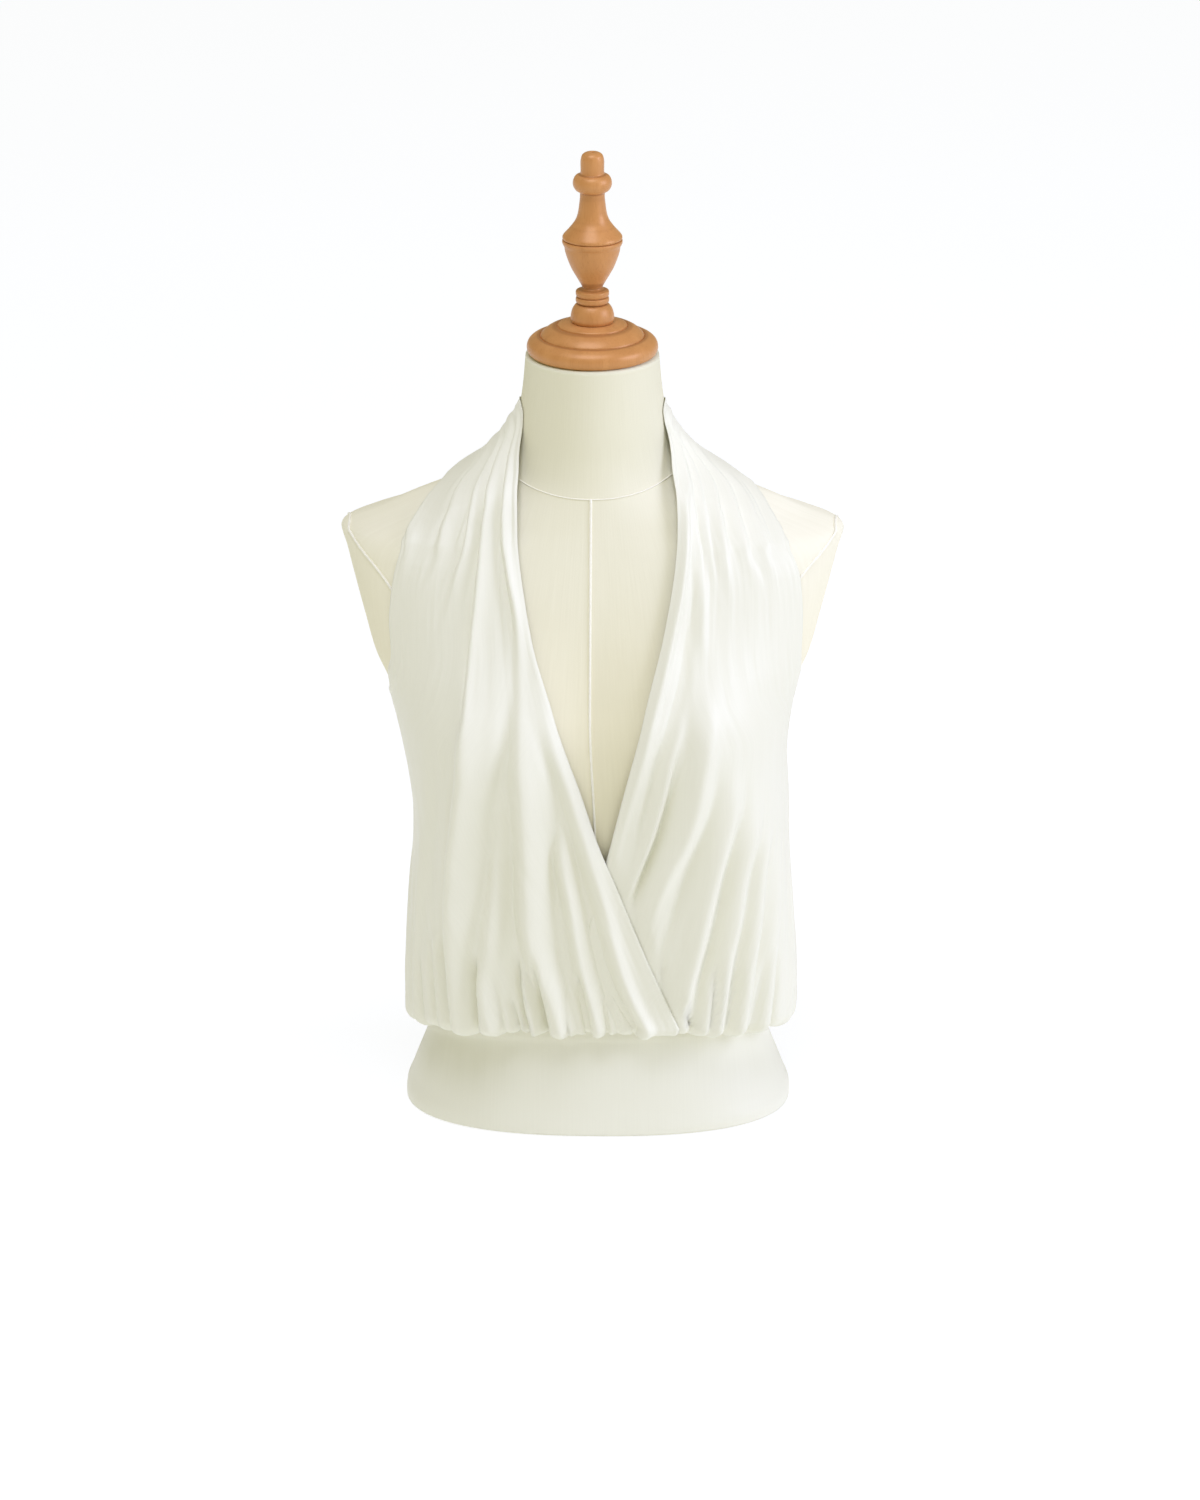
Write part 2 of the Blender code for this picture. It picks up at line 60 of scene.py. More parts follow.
BAND_ABOVE_SEAM = 2.0  # the waistband reaches this far above the waist seam
HEM_HEIGHT = 1.5  # hem above the surface the form stands on
FORM_EDGE = 5.0  # height of the rounding at the form's lower edge
NECK_TOP = 595.0  # flat top of the form's neck
SIDE_SEAM = 92.0  # angle of the side seams
NECK_SEAM = 125.0  # angle where a front ends in the neck band
BACK_TOP_SIDE = 316.0  # top edge of the back at the side seams
BACK_TOP_DIP = 9.0  # how much lower that edge is at centre back
NECK_BAND_LOW = 523.0
NECK_BAND_HIGH = 551.0
SIDE_RADIUS = 100.0  # least distance of the side seams from the axis
NECK_RADIUS = 50.0  # least distance of the neck band's seams from the axis
FRONT_RADIUS = 120.0  # distance of the wrap's overlap from the axis

BUST_ANGLE = 36.0  # either side of centre front
BUST_SPREAD = 25.0
BUST_HEIGHT = 325.0
BUST_RISE = 60.0
BUST_DEPTH = 27.0
BUST_IN_DRAPE = 0.8  # share of the bust that shows in the hanging cloth

HANG_ANGLE = 46.0  # either side, where cloth hangs straight down from the bust
HANG_SPREAD = 22.0
HANG_DEPTH = 18.0  # how far forward it stands there
HANG_TOP = 345.0
HANG_FALL = 110.0  # height over which it comes clear of the body
HANG_LOW = 190.0  # below this the waist's gathers draw it in again
HANG_DRAWN_IN = 0.5  # by this share
HANG_WAIST = 120.0  # height over which they do

LEAN = -4.2  # the padded body leans this far towards -X above its waist
LEAN_START = 240.0
LEAN_RISE = 110.0  # height over which it gets there
SWAY = 2.8  # the bloused cloth hangs this far towards +X
SWAY_TOP = 300.0
SWAY_DROP = 60.0  # height over which it gets there

FORM_SECTIONS = (
    # height, half_width, front, back, power across, power in depth
    (0, 143.2, 96.2, 94, 2.45, 2.45),
    (2, 145.8, 98.9, 96.6, 2.45, 2.45),
    (5, 146.3, 99.4, 97, 2.45, 2.45),
    (20, 141.2, 98.2, 95, 2.4, 2.4),
    (50, 129.9, 95.7, 88.5, 2.25, 2.25),
    (80, 120.8, 92.6, 82, 2.2, 2.2),
    (112, 118.5, 91, 79, 2.2, 2.2),
    (152, 122, 96, 81, 2.2, 2.2),
    (202, 129.5, 110, 88, 2.25, 2.25),
    (252, 136, 119, 96, 2.3, 2.3),
    (287, 140.2, 120, 101, 2.3, 2.3),
    (320, 146.6, 118, 106, 2.35, 2.35),
    (336, 150.5, 115.5, 108, 2.4, 2.4),
    (352, 157.3, 111.5, 109.5, 2.45, 2.45),
    (368, 165, 108, 110.5, 2.5, 2.5),
    (395, 172.7, 102, 111, 2.55, 2.5),
    (425, 180.6, 94, 108, 2.55, 2.45),
    (448, 186.5, 86, 104, 2.5, 2.3),
    (461, 190.5, 81, 98, 2.4, 1.8),
    (466.5, 183, 79, 95, 2.35, 1.5),
    (474.5, 162, 76, 91, 2.3, 1.3),
    (484, 141, 73, 87, 2.25, 1.2),
    (494, 115, 70, 81, 2.2, 1.15),
    (503, 93.5, 67.5, 75.5, 2.1, 1.25),
    (510.5, 78, 65.5, 71, 2.05, 1.45),
    (519, 67, 63.5, 66, 2, 1.75),
    (529, 60.3, 61, 61.5, 2, 2),
    (545, 56.7, 58, 58, 2, 2),
    (572, 52.3, 53.5, 53.5, 2, 2),
    (NECK_TOP, 50.3, 50.3, 50.3, 2, 2),
)

DRAPE_SECTIONS = (
    # height, half_width, front, back, power across, power in depth
    (40, 147, 104, 100, 2.3, 2.3),
    (75, 149.4, 108, 104, 2.3, 2.3),
    (105, 149.6, 111, 106.5, 2.3, 2.3),
    (140, 147.4, 114, 108, 2.3, 2.3),
    (175, 145, 118, 108.5, 2.3, 2.3),
    (210, 143, 121, 108.5, 2.3, 2.3),
    (245, 142.2, 124, 108.5, 2.3, 2.3),
    (275, 143, 125, 108.5, 2.3, 2.3),
    (307, 146, 123, 108.5, 2.35, 2.35),
    (335, 151, 119, 110, 2.4, 2.4),
    (360, 156, 110, 110, 2.5, 2.5),
    (400, 160, 100, 108, 2.5, 2.5),
    (450, 160, 85, 103, 2.5, 2.5),
    (475, 150, 79, 93, 2.4, 2.1),
    (495, 120, 75, 84, 2.3, 1.8),
    (504, 105, 72, 80, 2.2, 1.8),
    (513, 90, 68.5, 76, 2.1, 1.8),
    (524, 76, 65, 71, 2.05, 1.9),
    (538, 65, 62, 66, 2, 2),
    (556, 58.5, 58, 58.5, 2, 2),
    (580, 54, 54, 54, 2, 2),
)

BLOUSE_SECTIONS = (
    # angle from centre front, waist seam's height, lowest point of the roll, depth of the roll
    (0, 96, 86.5, 8),
    (30, 94, 85, 8.5),
    (45, 91, 82, 9.5),
    (60, 87, 77, 10.5),
    (75, 82, 69.5, 11.5),
    (92, 77, 60, 12.5),
    (135, 82, 66, 12),
    (180, 86, 72, 11),
)

OVER_STATIONS = (
    # neckline edge's angle and height, outer edge's angle and height, neck band to waist
    (125, 551, 125, 523),
    (105, 557, 112, 512.5),
    (86, 561, 99, 506),
    (70, 556.5, 87.5, 500),
    (61.4, 540, 78.8, 488),
    (47.5, 516, 72, 473.5),
    (39.1, 495, 67, 455.5),
    (34.4, 470, 66.2, 432),
    (28.1, 437, 66.3, 406),
    (21.4, 399, 65.5, 380),
    (13.3, 356, 70.5, 351),
    (5.6, 301, 92, 317),
    (-0.6, 250, 92, 262),
    (-8.5, 206, 92, 212),
    (-18.2, 153, 92, 158),
    (-30, 94, 92, 76),
)

UNDER_STATIONS = (
    # neckline edge's angle and height, outer edge's angle and height, neck band to waist
    (125, 551, 125, 523),
    (105, 557, 112, 512.5),
    (87, 560.5, 100.5, 505),
    (74.5, 556, 90.5, 497),
    (69.6, 541, 81.5, 487),
    (53.5, 516, 74, 473.5),
    (45.4, 497, 69.3, 456),
    (39.3, 469, 69.3, 434),
    (33.3, 438, 69.7, 408),
    (27.2, 405, 70.2, 380),
    (19.6, 364, 74.5, 352),
    (13.1, 315, 92, 317),
    (7.6, 268, 92, 262),
    (3, 224, 92, 212),
    (-3.7, 165, 92, 158),
    (-12, 94, 92, 76),
)

CAP_PROFILE = (
    # radius, height above the neck
    (45.6, 0.3), (47.8, 1.6), (49.2, 4.2), (49.4, 7), (48.2, 10.4), (45, 13.2), (40, 14.8),
    (39.2, 14), (38.6, 15.6), (33.6, 20), (27.2, 22.6), (26.2, 21.9), (25.6, 23.4), (20, 25.2),
)

FINIAL_PROFILE = (
    # radius, height above the neck
    (15.6, 25.5), (16.4, 27.8), (16.2, 31.4), (15, 35.6), (12.8, 38.8), (10.6, 40.2), (12.2, 41),
    (12.6, 42.8), (12.2, 44.6), (11.2, 45.3), (12.2, 46), (12.6, 47.9), (12.2, 49.8), (9, 51),
    (7.6, 52.4), (8.6, 54.6), (12.2, 60.9), (15.8, 67.4), (18.6, 74.2), (20.5, 80.3), (21.2, 84.2),
    (22, 85.6), (22.7, 87.4), (22.5, 89), (21.4, 89.7), (22.4, 90.5), (22.5, 91.6), (21.6, 93.2),
    (19.8, 95.2), (15.9, 99.8), (12.9, 104.2), (11.1, 109.1), (10, 115.8), (9.3, 123.6), (9.6, 125.8),
    (12.6, 127.9), (14.5, 131.4), (14.4, 135.3), (12.6, 138.6), (9.4, 140.1), (8.9, 141.7),
    (8.8, 150.9), (7.6, 154.7), (5, 156.5), (1.7, 156.7), (1.6, 152.7),
)

# ------------------------------------------------------------ sizes of the finish

JERSEY_WALL = 0.8  # thickness of the jersey
NECK_THINS = 0.5  # how much of that the pull of the neck takes at a strap's inner edge
NECK_THINS_WIDTH = 8.0  # width over which it does
SHOULDER_BEND = 456.0  # height where the straps turn over the shoulder
SHOULDER_ROUNDING = 15.0  # how far above and below that the turn is spread
SKIN_CLEARANCE = 0.5  # least distance from the form's skin to the cloth's middle
SKIN_SOFTNESS = 0.8  # how gently the cloth keeps to that

OVERLAP_INSET = 2.2  # how far the under front lies behind the over front
OVERLAP_RAMP = 12.0  # width over which it sinks behind the over front
OVERLAP_LEAD = 12.0  # how far outside the over front's edge that starts
EDGE_FROM = 3  # the station from which the over front's neckline edge runs down

HEM_WIDTH = 3.0  # turned hem along the neckline and the back's top edge
ARMHOLE_HEM = 2.0  # turned hem along the armhole edges
HEM_THICKNESS = 0.15  # what the turning adds to the cloth's face
HEM_STEP = 1.2  # width over which the turning ends
STITCH_DENT = 0.06  # how deep the stitches beside it pull the cloth in
STITCH_WIDTH = 0.8  # how wide, and how far from the turning

EDGE_LIP = 0.8  # how far a free edge curls towards the form
NECKLINE_LIP = 1.0  # width of that curl
ARMHOLE_LIP = 1.4  # the same at the armholes and the back's top edge
NECK_BAND_LIP = 1.2
EDGE_LIFT_REACH = 16.0  # width over which a neckline edge stands off the form
ARMHOLE_END = 0.72  # how far down a front its armhole edge goes

FOLD_FADE = 0.3  # share of a fold's length over which it rises, and over which it dies away
CREVICE = 0.35  # depth of the crevice at a ridge's steep foot, as a share of its height
CREVICE_PLACE = 1.8  # how far out it lies, as a share of the ridge's steep side
CREVICE_WIDTH = 0.6  # its width, as such a share
STRAP_STRAIGHTENS = 0.33  # above this, strap folds run straight on to the neck band
STRAP_WIDTH = 55.0  # where a front is narrower than this its folds narrow with it
NECK_FLATTENS = 0.45  # share of a strap fold's height left where the neck band gathers it
NECK_FLATTENS_TO = 0.40  # how far down the strap that reaches
LEAST_SPREAD = 0.001  # keeps a front's edges apart in the sums where both end in the neck band
EDGE_FADE = 5.0  # width over which a front's folds die at its edges
SIDE_FADE = 9.0  # the same at the side seams
SIDE_FADE_FROM = 0.68  # from this far down, a front's outer edge has that
SIDE_SEAM_FROM = 0.5  # from this far down, it stays inside the side seam
FRONT_GATHER_START = 0.80  # how far down a panel the small wrinkles of its gathered waist start
BACK_GATHER_START = 0.72
ROLL_SWELL = 0.035  # share by which a fold of 1 mm deepens the roll at the waist

FRONT_WRINKLES = (
    # streaks across, streaks down, height, how much the gathers add
    (40, 12, 0.25, 0.45),
    (90, 18, 0.06, 0.30),
)

BACK_FOLDS = 19  # evenly spaced but for a shift, and drawn from the ranges below
BACK_FOLD_SHIFT = 0.28  # most that a fold is moved aside, in spacings
BACK_FOLD_LEAN = 0.022  # most that its top lies aside, as a share of the back's width
BACK_FOLD_STARTS = (0.15, 0.75)  # how far down
BACK_FOLD_HEIGHTS = (2.2, 5.0)
BACK_FOLD_WIDTHS = (4.5, 11.0)  # each side by itself
BACK_VALLEY = (0.5, 3.0, 3.4)  # beside it: share of its height, distance beyond its width, width
BACK_PINCHES = 26  # short pinches at the waist seam
BACK_PINCH_SHIFT = 0.4
BACK_PINCH_DEPTHS = (1.2, 4.0)
BACK_PINCH_STARTS = (0.84, 0.92)
BACK_PINCH_FADE = 0.1
BACK_PINCH_WIDTH = 2.2
BACK_WRINKLES = (60, 9, 0.3, 0.4)  # the same columns as the fronts' wrinkles
BACK_TOP_FADE = 10.0

NECK_BAND_FOLDS = (
    # place down the band, height, width as a share of the band's
    (0.16, 1.2, 0.055),
    (0.36, 1.5, 0.060),
    (0.58, 1.3, 0.055),
    (0.80, 1.5, 0.060),
)
NECK_BAND_SWAY = 0.03  # how far those folds wander, as a share of the band's width
NECK_BAND_SWAYS = 1.3  # how often along the band
NECK_BAND_PHASE = 3  # how much further on they are for each width of the band
NECK_BAND_STREAKS = (14, 12)  # wrinkles across and down
NECK_BAND_WRINKLES = 0.2
NECK_BAND_FADE = 3.0
NECK_BAND_JOIN = 0.12  # share of its length over which it is as flat as the straps' ends

WAISTBAND_STREAKS = (9, 6)
WAISTBAND_WAVE = 0.35  # height of its slight unevenness
WAISTBAND_RIDGE = (0.5, 7.0, 3.0)  # height, how far below the roll, width
WAISTBAND_HEM_FADE = 8.0
WAISTBAND_ROLL_FADE = 4.0
WAISTBAND_SEAM_FADE = 0.02  # as a share of its length

PIPING = 1.0  # radius of the cord sewn into the form's seams
NECK_PIPING = 0.5  # radius of the thinner cord round its neck
PIPING_PROUD = 0.2  # how far a cord's middle stands off the cover
PIPING_LOW = 6.0  # lower end of the cords at centre front and back
PIPING_BACK_TOP = 517.0
NECK_SEAM_FRONT = 501.6  # height of the form's neck seam at centre front
NECK_SEAM_RISE = 18.0  # how much higher it is at the nape
NECK_SEAM_CURVE = 1.22  # how early it gets there
ARMHOLE_DEPTH = 72.0  # half the armhole seam's size, front to back
ARMHOLE_TAPER = 0.25  # makes its top and bottom narrower than an ellipse's
ARMHOLE_RISE = 66.0  # half its height
ARMHOLE_MIDDLE = 400.0  # height of its middle
ARMHOLE_REACH = 170.0  # first guess of its distance from the middle plane
COVER_RADIUS = 130.0  # mean distance of the cover from the axis, for its weave's pitch

GROOVE_REACH = 3  # steps of a turned profile on each side that its hollows are measured over
GROOVE_FROM = 0.14  # hollow at which the painted shade in the grooves starts
GROOVE_RANGE = 0.22  # further hollow at which it is darkest
GROOVE_ENDS = 9  # steps at each end of the profile that stay light

# Points were picked along each fold in the photo, and a program turned them into distance down the panel
# and angle. Some points keep its numbers, the others were rounded, moved or added.
OVER_CREASES = (
    # heights at start, middle and end; widths towards the neckline and away from it;
    # route as (percent of the way down, angle) points
    # ridge along the strap's inner edge, which widens below the bust
    ((1.2, 3.6, 5.6), (4.4, 4), ((0, 125), (27, 64.2), (32, 52.8), (37, 45.4), (41, 42), (45, 39), (51, 33),
        (56, 28), (62, 24.2), (66, 21.8), (70, 20.4))),
    ((2, 9.6, 8), (12, 8), ((62, 24.2), (66, 21.6), (70, 20.2), (73.5, 20.5), (78, 21.2), (83, 21.8),
        (88, 22.2), (92.2, 21.8), (95, 20), (97.5, 16.4), (100, 13.8))),
    # long outer fold from the neck, which widens below the bust
    ((2.4, 5.2, 5), (6.4, 4.6), ((0, 125), (28, 66), (32, 57.2), (36, 51.4), (40, 48.4), (47, 44.2),
        (52, 41.6), (58, 39.4), (63, 36.8), (68, 35.8))),
    ((0.6, 3.2, 1.6), (3.6, 2), ((44, 45.6), (47, 44.2), (52, 42), (59.3, 39.9), (64.2, 37.3), (68.5, 35.2),
        (72, 35.8), (75.5, 37.8))),
    ((2.6, 6.5, 2), (15, 11), ((58, 38.2), (64, 36), (68, 34.8), (72, 35), (78, 38.4), (84, 42.2),
        (90, 44.6), (100, 47.6))),
    ((0.8, 8.2, 5.4), (7.5, 6.2), ((62, 37.6), (66, 35.8), (70.3, 34.6), (75, 36), (78, 38.1), (81.8, 40.6),
        (85.5, 42.4), (89.2, 43.9), (92.5, 45), (96.5, 46.6), (100, 47.6))),
    # valleys between them
    ((-1, -2, -1.4), (3.6, 3), ((20, 77), (25, 70), (31, 57), (36, 48.8), (44, 42.8), (51, 38), (58, 32.8),
        (65, 26.6))),
    ((-0.8, -2, -1.2), (3.2, 3), ((24, 73.4), (28, 67.4), (34, 56), (39, 51), (46, 47.4), (52, 46.2),
        (58, 44.4))),
    ((-1, -4.6, -4.2), (5.4, 5), ((60, 29), (65.5, 25.6), (69.5, 25), (73.8, 28), (78, 31.6), (83.3, 34.4),
        (88.2, 36.9), (92.7, 39.5), (96.5, 42.4), (100, 43.6))),
    # valley at the side of the bust's overhang
    ((-0.6, -3.4, -2.2), (6, 9), ((66, 47), (72, 46.6), (78, 49.4), (84, 53.6), (90, 56.5), (96, 59))),
    # ridge that follows the neckline edge to the waist
    ((1.2, 5.6, 6.8), (7, 7), ((62, 17.4), (66, 15.6), (70, 11.7), (73.5, 8.2), (77.7, 5.2), (82.3, 1.6),
        (87.3, -2.5), (91.7, -6.2), (95.8, -10.8), (97.5, -13.6), (100, -18.4))),
    # ridge between that and the broad fold
    ((0.6, 5.6, 6.4), (6.6, 5.6), ((76, 12.4), (80, 11.6), (82.5, 11), (85.3, 10), (87.5, 8.8), (92, 6.9),
        (95.8, 4.2), (97.5, 1.8), (100, -0.6))),
    ((-0.4, -2.8, -3), (4.4, 4), ((68, 16.6), (72, 14.2), (77.7, 12.6), (82.5, 14.8), (87.7, 14.6),
        (92, 14), (96, 12.3), (98.5, 9.6), (100, 7.8))),
    ((-0.4, -2.6, -3.4), (3.6, 3.6), ((78, 9.2), (82.5, 6.9), (87.5, 4.4), (91.7, 1.5), (95.8, -2.6),
        (99.3, -8.2), (100, -9.4))),
    # small ridge between the broad folds
    ((0.5, 3.4, 4.8), (4.6, 5), ((79, 30.2), (82, 30.6), (88, 32.4), (92.5, 34.3), (96.3, 37),
        (100, 37.6))),
    ((-0.3, -2.6, -4.4), (4, 4.4), ((85, 28), (90, 28.8), (94.3, 30), (97, 30.2), (100, 29.4))),
    # strap folds
    ((2.4, 5.2, 2.2), (5.2, 3.6), ((0, 125), (26, 70.6), (30, 63.6), (34, 57.8), (38, 54), (45, 50.4),
        (52, 49.8), (60, 49.6))),
    ((2.2, 4.4, 1.6), (4.8, 3.6), ((0, 125), (25.5, 74.6), (31, 66.4), (36, 61.8), (40, 58.8), (45, 56.8),
        (52, 58))),
    ((1.2, 3.2, 1), (4.4, 3.4), ((17, 95), (28, 77), (33, 71.8), (37, 67.4), (42, 64.6), (48, 63.4))),
    ((-0.8, -2, -0.8), (2.8, 2.8), ((20, 81), (28, 68.8), (32.5, 62.3), (36.5, 58.4), (40.5, 56.2),
        (45, 54), (52, 54))),
    # soft folds towards the side seam
    ((0.4, 3.4, 4), (7, 7), ((80, 60), (86, 61.4), (91, 64), (95, 66.8), (100, 69))),
    ((-0.2, -2.2, -3), (5, 5), ((84, 67), (90, 71), (95, 74), (100, 75.4))),
    ((0.3, 2.6, 3), (6, 6), ((84, 79), (90, 80.4), (100, 82))),
    # gathers at the waist seam
    ((0.4, 4, 4.4), (2.6, 3), ((92, 53), (96, 54.4), (100, 55.2))),
    ((-0.8, -8.6, -9.6), (2.8, 2.4), ((92.5, 50.6), (96.3, 50.2), (98.8, 50.8), (100, 51.2))),
    ((-0.4, -4.6, -5.4), (2.8, 2.8), ((94, 57.6), (100, 59))),
    ((-0.6, -7.4, -8.6), (2.6, 2.4), ((93.5, 40.6), (96.8, 41.2), (99, 42.2), (100, 42))),
    ((0.4, 3, 3.4), (2.4, 2.4), ((95, 39), (100, 39.8))),
    ((-0.6, -7.4, -8.8), (2.4, 2.2), ((93, 28.2), (95.8, 28), (98.3, 27.4), (100, 26.2))),
    ((-0.4, -5.4, -6.4), (2, 2), ((97.5, 32), (99, 31), (100, 30.2))),
    ((0.6, 3.6, 3.8), (2.4, 2.2), ((94, 26), (97, 25.4), (100, 23.8))),
    ((-0.6, -6.6, -8.4), (2.6, 2.4), ((93, 21.8), (96.8, 20.9), (100, 19.2))),
    ((-0.3, -3.4, -4.6), (2.2, 2.2), ((96, 12.6), (100, 11))),
    ((-0.6, -7, -8.6), (2.6, 2.2), ((94.5, 6.6), (97.5, 5), (100, 2.9))),
    ((-0.4, -4.6, -6), (2, 2), ((97, -2.6), (100, -4.6))),
    ((-0.6, -6.4, -8.4), (2.6, 2.4), ((94, -3.4), (96.3, -6.6), (98.5, -11.8), (100, -15.6))),
    ((-0.3, -4, -5.4), (2.2, 2.2), ((94.5, 36), (100, 35))),
    ((-0.3, -4, -5.4), (2.6, 2.6), ((95, 65), (100, 66))),
    ((-0.3, -3.6, -5), (2.6, 2.6), ((95, 82.4), (100, 83.2))),
)

UNDER_CREASES = (
    # the same columns
    # ridge along the neckline
    ((1.2, 3.6, 4.2), (4.4, 5), ((0, 125), (28, 69.6), (33, 57.4), (38.5, 48.8), (42, 45.5), (48, 40),
        (54, 34.8), (60, 29), (65, 23.8), (70, 18.2), (75, 14.1), (80, 10.1), (85, 6.4), (90, 2.6))),
    ((-0.8, -4.4, -2.8), (5, 5), ((50, 42), (56, 37.8), (60, 34.4), (64, 31), (69, 25.2), (73, 20.6),
        (77.5, 17.6), (82.5, 13.8), (87.5, 8.6))),
    ((0.6, 3.8, 3.2), (4.4, 4.2), ((70, 25), (75, 22.6), (79.7, 19.4), (85, 15.4), (89.2, 11), (93, 6.4))),
    # broad valley and the ridges that fan out below the bust
    ((-0.8, -3.4, -2.6), (5, 3.6), ((66, 31.6), (72.5, 27.2), (77.2, 24.1), (82, 21), (87.3, 16.2),
        (92, 9.8))),
    ((2.2, 9, 4.6), (8, 9), ((62, 39), (66, 36.2), (70.8, 33.5), (75, 30.9), (77.2, 29.9), (79.5, 28.4),
        (82, 26.6), (84.5, 24.4), (87, 22.1), (90, 19.6), (93, 18.2), (97, 16))),
    ((-0.6, -3.2, -2.8), (4.6, 4.6), ((70, 37.2), (75.2, 36.2), (77.8, 35), (82, 32.2), (84.5, 30.4),
        (89, 27.6), (93, 24.6), (94.8, 22.8), (98, 20.6))),
    ((0.8, 7, 8.2), (8, 7), ((71, 41.4), (76, 40.8), (78, 40.4), (82, 37.6), (84.5, 36.4), (87, 35.4),
        (91, 33.4), (94.8, 31.6), (97.8, 29.8), (100, 28.4))),
    ((-0.4, -2.8, -3.4), (4.2, 4.2), ((76, 44.4), (80, 42.4), (84.8, 40.4), (89.2, 39.4), (93, 37.9),
        (96.3, 36), (100, 35.2))),
    ((0.6, 5, 5.4), (6, 6), ((75, 49.4), (80.5, 47.9), (85, 45.4), (87.3, 44.3), (91.2, 43), (94.8, 41.4),
        (100, 41.2))),
    ((-0.3, -2.8, -3.2), (4, 4), ((81, 50.4), (85.8, 48.6), (89.5, 47.2), (93.2, 46.2), (96.5, 45.6),
        (100, 45))),
    ((0.5, 4.6, 5), (5.6, 5.6), ((79, 54.4), (84.5, 52.8), (88.7, 51.2), (92.7, 50.2), (96, 49.7),
        (100, 49.2))),
    ((-0.3, -2.6, -3), (4.4, 4.4), ((83, 57.4), (88.2, 56.4), (92.2, 55.2), (95.5, 53.9), (100, 54))),
    ((0.3, 3.8, 4.2), (6.2, 6.2), ((82, 64), (88, 61.6), (94, 59.2), (100, 58.4))),
    ((-0.2, -2.2, -3), (5, 5), ((86, 69), (93, 66.6), (100, 65.4))),
    ((0.3, 3, 3.4), (6, 6), ((86, 77), (94, 75), (100, 73))),
    # strap folds
    ((-0.8, -2.4, -0.8), (3.4, 3.2), ((10, 96), (26.3, 73.6), (31.2, 63), (35.7, 55.6), (40, 51.8),
        (43.5, 49.2), (49, 46.6), (56, 44.8))),
    ((1.4, 3.8, 1.6), (4, 4.6), ((6, 112), (19.5, 85), (28.5, 72), (34.3, 61.4), (38, 58), (42.2, 54.8),
        (46, 52.2), (50, 51), (56, 50))),
    ((-0.6, -2.2, -0.6), (2.8, 2.8), ((12, 99), (26.5, 74.6), (33, 64.7), (37, 60.9), (41.5, 57.4),
        (45.3, 55.2), (51, 54))),
    ((1.4, 3.6, 1.2), (3.6, 4.4), ((6, 114), (25, 78), (31.8, 68.3), (36, 63.8), (40.5, 60.4), (44.5, 58.2),
        (52, 57.2))),
    ((-0.5, -1.8, -0.5), (2.6, 2.6), ((22, 85), (30, 72.8), (35.2, 66.3), (39.5, 62.9), (44, 60.5),
        (51, 59.8))),
    ((1, 3, 0.8), (3.4, 4.4), ((16, 97), (24, 82), (30.2, 72.9), (34.3, 68.9), (38.8, 65.3), (43.2, 63),
        (49, 62))),
    ((0.8, 2.2, 0.6), (3, 4.4), ((20, 93), (28.2, 77.8), (32.5, 74), (37.2, 69.6), (42, 67.4))),
    ((0.3, 2.4, 0.8), (4, 5), ((46, 46), (50, 43.8), (56, 40.8), (64, 36.6))),
    # gathers at the waist seam
    ((-0.8, -7, -8.4), (2.6, 2.2), ((94, 23.4), (96.8, 24.1), (98.8, 26.7), (100, 28.4))),
    ((-0.4, -4.4, -5.4), (2.2, 2), ((97.5, 29.6), (99, 32.6), (100, 35))),
    ((-0.4, -5.4, -6.6), (2.4, 2.4), ((94, 38.8), (97.5, 39.8), (100, 40.2))),
    ((-0.4, -4.4, -5.4), (2.4, 2.4), ((95, 46.6), (98, 46.8), (100, 46.6))),
    ((-0.4, -4.2, -5.4), (2.4, 2.4), ((94.5, 56.6), (100, 55.6))),
    ((-0.3, -3.8, -5), (2.6, 2.6), ((95, 66), (100, 65))),
    ((-0.3, -3.6, -4.8), (2.6, 2.6), ((95, 81), (100, 81.6))),
)

EDGE_LIFTS = {
    # how far the neckline edge stands off, as (how far down, lift) points
    "front_over_cloth": ((0, -5), (0.22, -5), (0.32, -1), (0.45, 1), (0.6, 1.6), (0.75, 0), (1, 0)),
    "front_under_cloth": ((0, -5), (0.2, -5), (0.3, -1.6), (0.38, 0.6), (0.5, 2), (0.75, 2.6), (0.85, 0),
                          (1, 0)),
}

SEEDS = {"front_over_cloth": 3, "front_under_cloth": 4, "neck_band_cloth": 5, "back_panel_cloth": 11,
         "waistband_front_cloth": 21, "waistband_back_cloth": 22}

# ----------------------------------------------------- finenesses of the meshes

FRONT_GRID = (250, 156)  # rows, columns
BACK_GRID = (150, 200)
NECK_BAND_GRID = (60, 130)
WAISTBAND_GRID = (70, 150)
ROLL_ROWS = 34
FRONT_ROW_PLACES = ((0, 0.6, 1), (0, 0.55, 1))  # share of the rows, how far down they reach
BACK_ROW_PLACES = ((0, 0.6, 1), (0, 0.5, 1))
FRONT_CROWDING = 0.035  # share of a front's width by which columns are moved towards its edges
FORM_EDGE_HEIGHTS = (0.0, 0.6, 1.2, 2.0, 3.0, 4.0, FORM_EDGE)
FORM_STEP = 2.6
FORM_SEGMENTS = 256
CAP_SEGMENTS = 144
FINIAL_SEGMENTS = 96
PROFILE_STEPS = 6
PIPING_STEPS = 260
NECK_PIPING_STEPS = 240
ARMHOLE_STEPS = 180
CORD_SIDES = 10
SOLVER_STEPS = 8
ARMHOLE_SOLVER_STEPS = 12


# ------------------------------------------------------------------ formulas

